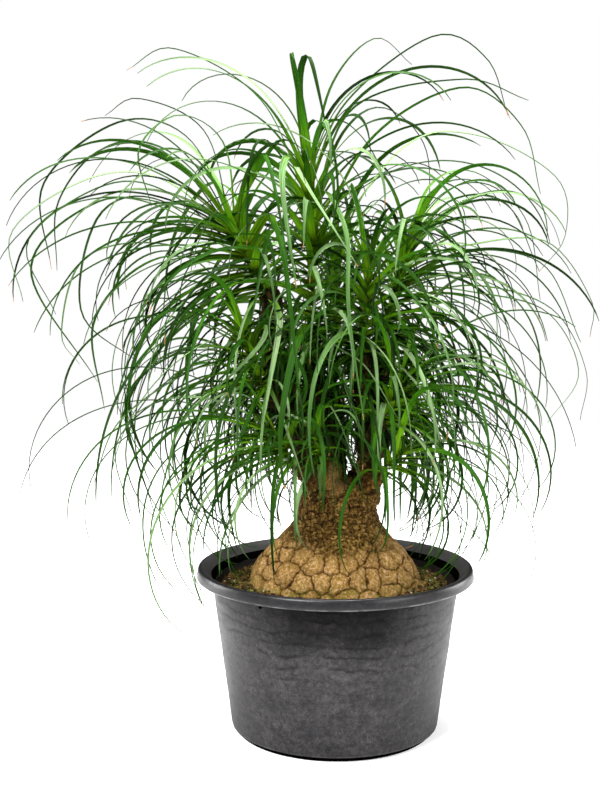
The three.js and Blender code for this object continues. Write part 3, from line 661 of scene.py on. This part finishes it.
def make_pot(material):
    def inside(z):
        return mix(WALL_FOOT_RADIUS, WALL_TOP_RADIUS, (z - FLOOR) / (LIP_BOTTOM - FLOOR)) - WALL

    wall = [
        (mix(WALL_FOOT_RADIUS, WALL_TOP_RADIUS, share), mix(WALL_START, LIP_BOTTOM, share))
        for share in np.linspace(0.012, 1, WALL_ROWS)
    ]
    foot, heel, rim, mouth = FOOT_RADIUS, WALL_FOOT_RADIUS, RIM_RADIUS, MOUTH_RADIUS
    top, lip = POT_HEIGHT, LIP_BOTTOM
    profile = [(HUB, 0), (FLOOR_RING, 0), (foot - 1.5, 0), (foot - 0.3, 0.3), (foot + 0.2, 1.2)]
    profile += [(foot + 0.9, 3.4), (foot + 2.6, 4.6), (heel - 1.2, 5.4), (heel - 0.2, HEEL), *wall]
    # Up under the rolled rim and down inside its outer band
    profile += [(WALL_TOP_RADIUS + 1.4, lip + 1.2), (mouth + 4, top - 9), (mouth + 7, top - 6)]
    profile += [(mouth + 10, top - 3.9), (rim - 5.6, top - 2.9), (rim - 4, top - 3.9)]
    profile += [(rim - 3.2, top - 6.5), (rim - WALL, lip + 0.3), (rim - WALL + 0.5, lip)]
    # Up the band, over the rim and into the mouth
    profile += [(rim - 0.5, lip), (rim, lip + 0.6), (rim - 0.2, lip + 3), (rim - 0.8, top - 6)]
    profile += [(rim - 1.4, top - 3.4), (rim - 2.1, top - 1.7), (rim - 3.3, top - 0.6)]
    profile += [(rim - 5, top), (rim - 7, top - 0.5), (rim - 9.5, top - 1.6), (mouth + 5.3, top - 4)]
    profile += [(mouth + 2.5, top - 6.7), (mouth + 0.6, top - 9), (mouth - 0.8, top - 11)]
    # Down the wall's inside to the floor
    profile += [(inside(lip), lip - 0.5), (inside(SOIL_EDGE), SOIL_EDGE), (inside(FLOOR + 7), FLOOR + 7)]
    profile += [(inside(FLOOR) - 5, FLOOR), (FLOOR_RING, FLOOR), (HUB, FLOOR)]
    points, radius, height = rings_of(profile, POT_SIDES)
    # The wall's outside is a little uneven
    share = (height - WALL_START) / (lip - WALL_START)
    outer = (radius > heel - 1) & (height > WALL_START) & (height < lip)
    outer &= radius > mix(heel, WALL_TOP_RADIUS, share) - 1
    waves = noise_at(points[outer], (46, 46, 7), 3.1)
    folds = 1 - 2 * np.abs(noise_at(points[outer], (60, 60, 11), 8.3))
    broad = noise_at(points[outer], (70, 70, 50), 5.7)
    upper = 0.45 + 0.55 * smoothstep(height[outer], 60, 150)
    fade = smoothstep(height[outer], WALL_START, WALL_START + 10)
    fade *= 1 - smoothstep(height[outer], lip - 11, lip)
    step = RIPPLE * (waves + 0.8 * folds * upper + 1.6 * broad) * fade
    points[outer, :2] += unit(points[outer, :2]) * step[:, None]
    quads = ring_quads(len(profile), POT_SIDES)
    ends = [range(POT_SIDES)[::-1], range(len(points) - POT_SIDES, len(points))]
    pot = piece("pot_moulding", points, [*quads, *ends], material, "pot_plastic", "pot")
    cut_holes(pot)
    pot.data.shade_smooth()
    pot.data.set_sharp_from_angle(angle=math.radians(50))


# Potting mix


def soil_height(points):
    """The surface's height at points (x, y, anything)."""
    radius = np.hypot(points[:, 0], points[:, 1])
    height = mix(SOIL_MIDDLE, SOIL_EDGE, smoothstep(radius, *SOIL_SLOPE))
    return height + 2.2 * noise_at(points, 24, 1.7) + 1.3 * noise_at(points, 9, 4.4)


def make_soil_bed(material):
    profile = [(radius, 0) for radius in np.linspace(SOIL_INNER, SOIL_OUTER, SOIL_RINGS)]
    points, radius, _ = rings_of(profile, SOIL_SIDES)
    points[:, 2] = soil_height(points) + 0.8 * noise_at(points, 3.2, 9.1)
    # The mix is banked against the wall, behind the hanger holes, where it is painted black as painted shade
    points[:, 2] += BANK * smoothstep(radius, *BANKED)
    outer = points[-SOIL_SIDES:] * (1 - SOIL_SETBACK / SOIL_OUTER)
    below = np.vstack([outer, points[:SOIL_SIDES]])
    below[:, 2] = SOIL_EDGE - SOIL_SKIRT
    points = np.vstack([below[SOIL_SIDES:], points, below])
    quads = ring_quads(SOIL_RINGS + 3, SOIL_SIDES)[:, ::-1]
    bed = piece("soil_bed", points, quads, material, "potting_mix", "soil")
    shade = smoothstep(noise_at(points, 8, 2.2), -0.4, 0.6)
    # Painted shade: the mix turns black towards the wall
    shade *= 1 - smoothstep(np.hypot(points[:, 0], points[:, 1]), *SOIL_SHADED)
    paint(bed, "shade", shade[:, None])


def lump():
    """A rough 12-cornered lump: its corners and triangles."""
    g = (1 + math.sqrt(5)) / 2
    corners = [np.roll((s, t * g, 0), k) for k in range(3) for s in (-1, 1) for t in (-1, 1)]
    corners = unit(np.array(corners, float))
    near = np.linalg.norm(corners[:, None] - corners[None], axis=-1) < 1.2
    faces = []
    for a, b, c in combinations(range(12), 3):
        if near[a, b] and near[b, c] and near[a, c]:
            normal = np.cross(corners[b] - corners[a], corners[c] - corners[a])
            faces.append((a, b, c) if normal @ corners[a] > 0 else (a, c, b))
    return corners, np.array(faces)


def scatter(name, material, count, least, most, seed, tilt, fewer=0):
    """Loose bits on the mix, with a least and most half length, width and thickness.

    fewer is the share that is missing at the very front and back.
    """
    rng = np.random.default_rng(seed)
    corners, faces = lump()
    least, most = np.array([least, most], float)
    all_points, all_faces, shades = [], [], []
    while len(all_faces) < count:
        radius = math.sqrt(rng.uniform(BITS_LIE[0] ** 2, BITS_LIE[1] ** 2))
        turn = rng.uniform(0, TURN)
        keep = rng.uniform()
        if keep > 1 - fewer * math.sin(turn) ** 2:
            continue
        size = least + (most - least) * rng.uniform(size=3) ** 1.6
        bit = corners * (1 + 0.3 * rng.uniform(-1, 1, (12, 3))) * size
        lean, spin = rng.normal(0, tilt), rng.uniform(0, TURN)
        bit = turned(turned(bit, np.array([0, 1, 0]), lean), np.array([0, 0, 1]), spin)
        place = np.array([around(radius, turn, 0)])
        place[0, 2] = soil_height(place)[0] + 0.35 * size[2]
        all_faces.append(faces + 12 * len(all_faces))
        all_points.append(bit + place)
        shades += [rng.uniform()] * 12
    made = piece(name, np.vstack(all_points), np.vstack(all_faces), material, "potting_mix")
    made.data.shade_flat()
    paint(made, "shade", np.array(shades)[:, None])


# Foot, neck and stems


def ways_along(points):
    """How far along a line of points each of them is."""
    return np.concatenate([[0], np.cumsum(np.linalg.norm(np.diff(points, axis=0), axis=1))])


def catmull_point(a, b, c, d, t):
    v0, v1 = (c - a) / 2, (d - b) / 2
    return (2 * b - 2 * c + v0 + v1) * t**3 + (-3 * b + 3 * c - 2 * v0 - v1) * t**2 + v0 * t + b


def smooth_through(before, knots, after, parts):
    """A smooth curve through knots, with so many points from each knot to the next."""
    padded = np.vstack([before, knots, after])
    stretches = range(len(knots) - 1)
    points = [catmull_point(*padded[i : i + 4], t) for i in stretches for t in np.arange(0, 1, 1 / parts)]
    return np.array([*points, knots[-1]])


def foot_curve():
    """The foot's outline: rows of radius, height and direction outwards, and the way up it in plate radii."""
    knots = np.array(FOOT_PROFILE, float)
    rows = smooth_through(knots[0], knots, knots[-1], 20)
    along = unit(np.gradient(rows, axis=0))
    return np.stack([*rows.T, along[:, 1], -along[:, 0]], 1), ways_along(rows) / PLATE_RADIUS


def plate_seeds(tall, rows, columns, seed):
    """The middles of the plates, as turns and ways up the foot."""
    draw = random_from(seed)
    seeds = []
    for row in range(rows):
        for column in range(columns):
            turn = (column + (row % 2) / 2 + PLATE_JITTER * (2 * draw() - 1)) / columns
            v = (row + 0.5 + PLATE_JITTER * (2 * draw() - 1)) / rows
            seeds.append((turn * TURN, v * tall))
    return np.array(seeds)


def plates(turn, v, seeds):
    """For points on the foot: how far each is from the nearest crack, in millimetres, and its plate."""
    apart, own = [], []
    for low in range(0, len(turn), AT_ONCE):
        a, b = turn[low : low + AT_ONCE, None], v[low : low + AT_ONCE, None]
        across = (a - seeds[:, 0] + math.pi) % TURN - math.pi
        squares = across**2 + (b - seeds[:, 1]) ** 2
        order = np.argpartition(squares, 2, axis=1)[:, :3]
        near = np.take_along_axis(squares, order, 1)
        first = np.argsort(near, axis=1)
        order = np.take_along_axis(order, first, 1)
        near = np.take_along_axis(near, first, 1)
        gaps = []
        for k in (1, 2):
            step = seeds[order[:, 0]] - seeds[order[:, k]]
            step[:, 0] = (step[:, 0] + math.pi) % TURN - math.pi
            gaps.append((near[:, k] - near[:, 0]) / (2 * np.linalg.norm(step, axis=1)))
        apart.append(np.minimum(*gaps) * PLATE_RADIUS)
        own.append(order[:, 0])
    return np.concatenate(apart), np.concatenate(own)


def creases(points):
    """Thin creases in the bark: 0 in them and 1 between them."""
    return smoothstep(np.abs(noise_at(points, (12, 12, 5.5), 5.2)), 0, 0.15)


def bare_wood(points):
    """How smooth the bark is: 1 in the middle of the patch on the neck's front that has none."""
    middle, size = BARE_WOOD
    return np.exp(-((((points - middle) / size) ** 2).sum(1) ** 2))


def make_foot():
    """The foot and neck: points, faces and values for the material."""
    curve, way = foot_curve()
    tall = way[-1]
    v = np.repeat(np.linspace(0, tall, FOOT_ROWS), FOOT_COLUMNS)
    turn = np.tile(np.linspace(0, TURN, FOOT_COLUMNS, endpoint=False), FOOT_ROWS)
    radius, height, out_r, out_z = [np.interp(v, way, column) for column in curve.T]

    def place(step):
        r = radius * (1 + FOOT_LOBES * np.cos(3 * turn + 2)) + out_r * step
        z = height + out_z * step
        x = r * np.cos(turn) + NECK_SHIFT * smoothstep(z, *NECK_BEND)
        return np.stack([x, r * np.sin(turn), z], 1)

    ground = place(0)
    wander = [0.03 * noise_at(ground, 9, s) + 0.016 * noise_at(ground, 4, s) for s in (11.3, 17.9)]
    seeds = plate_seeds(tall, PLATE_ROWS, PLATE_COLUMNS, PLATE_SEED)
    apart, own = plates(turn + wander[0], v + wander[1], seeds)
    rng = np.random.default_rng(PLATE_SEED)
    lift, shade = rng.uniform(0.6, 1, len(seeds)), rng.uniform(size=len(seeds))
    width = CRACK_WIDTH * (1 + 0.5 * noise_at(ground, 30, 6.6))
    plate = smoothstep(apart, 0.15, width)
    dome = smoothstep(apart, 0, 8)
    # Hairline cracks, in patches
    seeds = plate_seeds(tall, 2 * PLATE_ROWS, 2 * PLATE_COLUMNS, HAIRLINE_SEED)
    finely, _ = plates(turn + 1.3 * wander[1], v + 1.3 * wander[0], seeds)
    hairline = 1 - smoothstep(finely, 0.1, HAIRLINE_WIDTH)
    hairline *= smoothstep(noise_at(ground, 24, 14.1), -0.2, 0.3)
    # Creased bark takes over from the plates on the way up
    dip = BARK_DIP * np.exp(-(((turn - BARK_DIP_TURN) / 0.55) ** 2))
    upper = smoothstep(height + 12 * noise_at(ground, 24, 2.9) + dip, *BARK_LINE)
    rough = noise_at(ground, 5.5, 3.3) + 0.6 * noise_at(ground, 2.6, 7.2)
    fine = smoothstep(np.abs(noise_at(ground, (6, 6, 5), 12.4)), 0, 0.2)
    crease = np.minimum(creases(ground), 0.3 + 0.7 * fine)
    plated = PLATE_RELIEF * lift[own] * plate + PLATE_DOME * dome + 0.4 * rough - 0.5 - 0.9 * hairline
    smooth = bare_wood(ground)
    barked = 1.2 + (2.4 * (crease - 0.7) + 1.1 * rough) * (1 - 0.85 * smooth)
    points = place(mix(plated, barked, upper))
    cleft = mix(plate * (1 - 0.55 * hairline), crease, upper)
    # Each plate's own tone, with painted shade that darkens it towards its cracks
    tone = 0.5 * shade[own] + 0.5 * dome
    values = np.stack([mix(cleft, 1, smooth), upper * (1 - 0.95 * smooth), tone], 1)
    ends = np.array([[0, 0, FOOT_POINT], [NECK_SHIFT, 0, NECK_TOP]])
    bottom, top = len(points), len(points) + 1
    faces = [*ring_quads(FOOT_ROWS, FOOT_COLUMNS)]
    last = (FOOT_ROWS - 1) * FOOT_COLUMNS
    for i in range(FOOT_COLUMNS):
        j = (i + 1) % FOOT_COLUMNS
        faces += [(bottom, j, i), (top, last + i, last + j)]
    return np.vstack([points, ends]), faces, np.vstack([values, [[0, 0, 0], [0.5, 1, 0.5]]])


def curve_through(knots, step):
    """Points about a step apart on a smooth curve through knots."""
    knots = np.asarray(knots, float)
    fine = smooth_through(2 * knots[0] - knots[1], knots, 2 * knots[-1] - knots[-2], 30)
    way = ways_along(fine)
    count = max(8, round(way[-1] / step))
    at = np.linspace(0, way[-1], count + 1)
    return np.stack([np.interp(at, way, fine[:, k]) for k in range(3)], 1), way[-1]


def axis_of(crown):
    """The foot of a crown's leafy axis, and the way from there to its tip."""
    foot, tip = np.array(crown[1:3], float)
    return foot, tip - foot


def make_stem(knots, crown, radii, start):
    """A stem with the scars of its old leaves: points, faces and values for the material."""
    foot, axis = axis_of(CROWNS[crown])
    axis = unit(axis)
    spine, length = curve_through([*knots, foot - 8 * axis, foot + 10 * axis], 2.8)
    along = unit(np.gradient(spine, axis=0))
    side = unit(np.cross([0, 1, 0], along))
    front = np.cross(along, side)
    sides = max(32, round(radii[0] * 2))
    share = np.repeat(np.linspace(0, 1, len(spine)), sides)
    turn = np.tile(np.linspace(0, TURN, sides, endpoint=False), len(spine))
    out = np.repeat(side, sides, 0) * np.cos(turn)[:, None]
    out += np.repeat(front, sides, 0) * np.sin(turn)[:, None]
    middle = np.repeat(spine, sides, 0)
    radius = mix(radii[0], radii[1], share) * (1 + 0.07 * np.sin(3 * turn + 40 * share))
    ground = middle + out * radius[:, None]
    rings = np.sin((share * length / 5.5 + 0.25 * noise_at(ground, 14, 2.2)) * TURN)
    crease = creases(ground)
    rough = noise_at(ground, 4.5, 3.3) + 0.6 * noise_at(ground, 2.2, 7.2)
    smooth = bare_wood(ground)
    step = (0.4 * rings + 1.8 * (crease - 0.7) + 0.6 * rough) * (1 - 0.85 * smooth)
    points = ground + out * step[:, None]
    cleft = crease * smoothstep(rings, -2.2, 0.5)
    # Painted shade: the stems darken on the way up to their crowns
    tone = 0.8 - 0.8 * smoothstep(share, 0, 0.5)
    values = np.stack([mix(cleft, 1, smooth), 1 - 0.95 * smooth, tone], 1)
    last = start + (len(spine) - 1) * sides
    ends = [range(start, start + sides)[::-1], range(last, last + sides)]
    return points, [*ring_quads(len(spine), sides, start), *ends], values


def make_trunk(material):
    parts = [make_foot()]
    for stem in STEMS:
        parts.append(make_stem(*stem, sum(len(points) for points, _, _ in parts)))
    points, faces, values = zip(*parts)
    trunk = piece("trunk_bark", np.vstack(points), sum(faces, []), material, "bark", "trunk")
    paint(trunk, "bark", np.vstack(values))


# Leaves


def leaf_of(crown, index):
    """One leaf of a crown, by the part's rule: the youngest upright near the tip, the oldest spread."""
    seed, _, _, leaves, length, width, curl = crown
    draw = random_from(seed * 1000 + index)
    age = (index + draw()) / leaves
    foot, axis = axis_of(crown)
    root = foot + axis * mix(0.96, 0.04, age)
    axis = unit(axis)
    side = unit(np.cross([0, 1, 0], axis))
    front = np.cross(axis, side)
    turn = index * GOLDEN_ANGLE + 0.5 * (draw() - 0.5)
    turn -= SIDEWAYS * math.sin(2 * turn)
    turn -= OUTWARD * math.hypot(axis[0], axis[1]) * math.sin(turn - math.atan2(axis[1], axis[0]))
    lean = mix(0.08, 1.3, age**0.6) + 0.24 * (draw() - 0.5)
    first = axis * math.cos(lean) + (side * math.cos(turn) + front * math.sin(turn)) * math.sin(lean)
    slope = math.acos(max(-1, min(1, first[2])))
    heading = math.atan2(first[1], first[0])
    length *= (0.48 + 0.57 * draw() ** 1.7) * (1 - 0.18 * math.sin(heading) ** 2)
    droop = max(mix(2.3, curl, age**0.4) + 1.1 * (draw() - 0.5), slope + 0.35)
    sway = 1.1 * (draw() - 0.5)
    twist = 2.4 * (draw() - 0.5)
    width *= 0.7 + 0.5 * draw()
    lateness = mix(1.6, 0.95, age)
    steps = int(np.clip(round(length / LEAF_STEP), 16, 40))
    fine = 6
    u = np.arange(steps * fine) / (steps * fine)
    angle = mix(slope, droop, u**lateness)
    course = heading + sway * u * u
    ways = np.stack([np.sin(angle) * np.cos(course), np.sin(angle) * np.sin(course), np.cos(angle)], 1)
    spine = root + np.vstack([np.zeros(3), np.cumsum(ways * length / (steps * fine), 0)])
    return spine[::fine], heading, sway, twist, width


def reaching_leaf(crown, row):
    """A leaf that reaches out of its crown through given points."""
    foot, axis = axis_of(crown)
    share, depth, width, *through = row
    root = foot + axis * share
    knots = [root]
    for i, (x, z) in enumerate(through):
        knots.append((x, mix(root[1], depth, ((i + 1) / len(through)) ** 1.5), z))
    spine, _ = curve_through(knots, LEAF_STEP)
    end = spine[-1] - root
    heading = math.atan2(end[1], end[0])
    twist = 0.5 if depth > root[1] else -0.5
    return spine, heading, 0, twist, width


def solid_tree(*names):
    """What leaves keep out of, for ray tests."""
    points, faces = [], []
    for name in names:
        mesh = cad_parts[name].data
        faces += [[len(points) + i for i in p.vertices] for p in mesh.polygons]
        points += [v.co.copy() for v in mesh.vertices]
    return BVHTree.FromPolygons(points, faces)


def free_length(spine, clear_from, solids, low, high):
    """How many points of a leaf's middle come before it meets a solid or leaves the box."""
    first = max(1, round(clear_from * (len(spine) - 1)))
    for i in range(first, len(spine) - 1):
        start, end = Vector(spine[i]) * MM, Vector(spine[i + 1]) * MM
        step = end - start
        # The ray reaches a little past the step, so that none slips between two
        if solids.ray_cast(start, step.normalized(), step.length * 1.15)[0] is not None:
            return i
        if any(c < a or c > b for c, a, b in zip(end, low, high)):
            return i + 1
    return len(spine)


# Across a blade, counter-clockwise seen from its tip: right edge, upper side, left edge, keel
BLADE_ACROSS = np.array([1, 0.5, 0, -0.5, -1, 0])
BLADE_DEPTH = np.array([1, 0.35, 0, 0.35, 1, 0])  # share of the way up from the channel's floor to the edges
BLADE_UV = (0, 0.125, 0.25, 0.375, 0.5, 0.75, 1)
BLADE_SIDES = len(BLADE_ACROSS)


def blade(spine, heading, sway, twist, width):
    """The rings of a leaf's blade and its share of length at each."""
    u = np.linspace(0, 1, len(spine))
    along = unit(np.gradient(spine, axis=0))
    heading = heading + sway * u * u
    across = np.stack([-np.sin(heading), np.cos(heading), 0 * heading], 1)
    across = unit(turned(across, along, twist * (0.35 + 0.65 * u)))
    upper = np.cross(along, across)
    half = width / 2 * (0.1 + 0.9 * (1 - u) ** 0.65) * (1 + 0.3 * np.exp(-9 * u))
    half[-1] *= 0.3
    deep = BLADE_THICKNESS / 2 * (1 - 0.5 * u)
    channel = np.minimum(0.3 * half, 1.4 * deep)
    x = half[:, None] * BLADE_ACROSS
    y = deep[:, None] - channel[:, None] * (1 - BLADE_DEPTH)
    y[:, -1] = -deep
    rings = spine[:, None] + across[:, None] * x[..., None] + upper[:, None] * y[..., None]
    return rings.reshape(-1, 3), u


def make_crown(name, material, solids):
    crown = CROWNS[name]
    low, high = [corner + Vector((s, s, s)) * MM for corner, s in zip(cad_box, (-SPARE, SPARE))]
    reaching = REACHING.get(name, ())
    leaves = [reaching_leaf(crown, row) for row in reaching]
    leaves += [leaf_of(crown, i) for i in range(crown[3])]
    in_crown = len(leaves)
    if name in SHOOTS:
        # The youngest third of these would stand upright among the crown's leaves
        shoot = SHOOTS[name]
        leaves += [leaf_of(shoot, i) for i in range(shoot[3] // 3, shoot[3])]
    rng = np.random.default_rng(crown[0])
    points, faces, values, spots = [], [], [], []
    count = 0
    for index, (spine, *facing, width) in enumerate(leaves):
        of_shoot = index >= in_crown
        if index < len(reaching) or crown[5] > SLIM or of_shoot:
            width *= FINER
        tint, dry = rng.uniform(size=2)
        if of_shoot:
            tint *= SHOOT_TINT
        clear_from = SHOOT_CLEAR_FROM if of_shoot else CLEAR_FROM
        kept = free_length(spine, clear_from, solids, low, high)
        if kept < LEAST_SHARE * len(spine) or kept < LEAST_POINTS:
            continue
        rings, u = blade(spine[:kept], *facing, width)
        size = len(u) * BLADE_SIDES
        faces += [*ring_quads(len(u), BLADE_SIDES, count), range(count, count + BLADE_SIDES)[::-1]]
        faces.append(range(count + size - BLADE_SIDES, count + size))
        for near, far in zip(u, u[1:]):
            for a, b in zip(BLADE_UV, BLADE_UV[1:]):
                spots += [(a, near), (b, near), (b, far), (a, far)]
        spots += [(BLADE_UV[2], 0.0)] * BLADE_SIDES + [(BLADE_UV[2], 1.0)] * BLADE_SIDES
        dried = smoothstep(u, 1 - 0.5 * max(0, dry - 0.8), 1.001)
        value = np.stack([u, 0 * u + tint, dried], 1)
        values.append(np.repeat(value, BLADE_SIDES, 0))
        points.append(rings)
        count += size
    made = piece(f"leaves_{name}", np.vstack(points), faces, material, "leaf", f"crown_{name}")
    paint(made, "leaf", np.vstack(values))
    made.data.uv_layers.new(name="Blade").data.foreach_set("uv", np.array(spots, np.float32).ravel())
    made.data.set_sharp_from_angle(angle=math.radians(60))


# Stage


def make_stage():
    bpy.ops.mesh.primitive_circle_add(vertices=96, radius=3.2, fill_type="NGON")
    floor = bpy.context.object
    floor.name = "floor"
    coat = Coat("floor")
    seen = coat.add("ShaderNodeLightPath").outputs["Is Camera Ray"]
    inputs = {
        "Base Color": coat.ramp(coat.clouds(300, 2), (0.3, 0.86), (0.7, 0.9)),
        "Roughness": 0.9,
        "Emission Color": (1, 1, 1, 1),
        "Emission Strength": coat.times(seen, 0.45),
    }
    floor.data.materials.append(coat.finished(inputs))
    world = bpy.data.worlds.new("studio")
    world.use_nodes = True
    bpy.context.scene.world = world
    sky = Nodes(world.node_tree)
    seen = sky.add("ShaderNodeLightPath").outputs["Is Camera Ray"]
    colour = sky.blend(seen, (0.06, 0.06, 0.06, 1), (1, 1, 1, 1))
    sky.feed(world.node_tree.nodes["Background"], {"Color": colour, "Strength": 1})


def add_light(name, place, target, size, power):
    light = bpy.data.lights.new(name, "AREA")
    light.shape = "DISK"
    light.size = size
    light.energy = power
    made = new_object(name, light)
    made.location = place
    made.rotation_euler = (Vector(target) - Vector(place)).to_track_quat("-Z", "Y").to_euler()


def make_camera():
    camera = new_object("camera", bpy.data.cameras.new("camera"))
    camera.location = Vector(CAMERA_PLACE) * MM
    camera.rotation_euler = (math.radians(90 - CAMERA_PITCH), 0, 0)
    camera.data.sensor_width = 36
    camera.data.lens = CAMERA_LENS
    bpy.context.scene.camera = camera


make_camera()
make_stage()
for facts in LIGHTS:
    add_light(*facts)

bark = bark_material()
leaf = leaf_material()
loose = soil_material("potting mix", (0.003, 0.002, 0.0007), (0.1, 0.058, 0.012), 2.5)
chips = soil_material("bark chips", (0.004, 0.0026, 0.001), (0.22, 0.128, 0.034), 1.6)
stones = soil_material("perlite", (0.42, 0.38, 0.28), (0.75, 0.72, 0.62), 1.5)
moss = soil_material("moss", (0.03, 0.05, 0.004), (0.17, 0.2, 0.03), 1.5)

make_pot(plastic_material())
make_soil_bed(loose)
scatter("soil_chips", chips, CHIPS, (1, 0.7, 0.4), (5.5, 2.6, 1.4), seed=7, tilt=0.5)
scatter("soil_perlite", stones, PERLITE, (0.8, 0.8, 0.7), (1.9, 1.7, 1.5), seed=8, tilt=0.6)
scatter("soil_moss", moss, TUFTS, (1, 1, 0.8), (3.6, 3.2, 1.8), seed=9, tilt=0.3, fewer=0.65)
make_trunk(bark)
keep_out = solid_tree("pot", "soil", "trunk")
for crown_name in CROWNS:
    make_crown(crown_name, leaf, keep_out)

bpy.context.scene.view_settings.view_transform = "Standard"
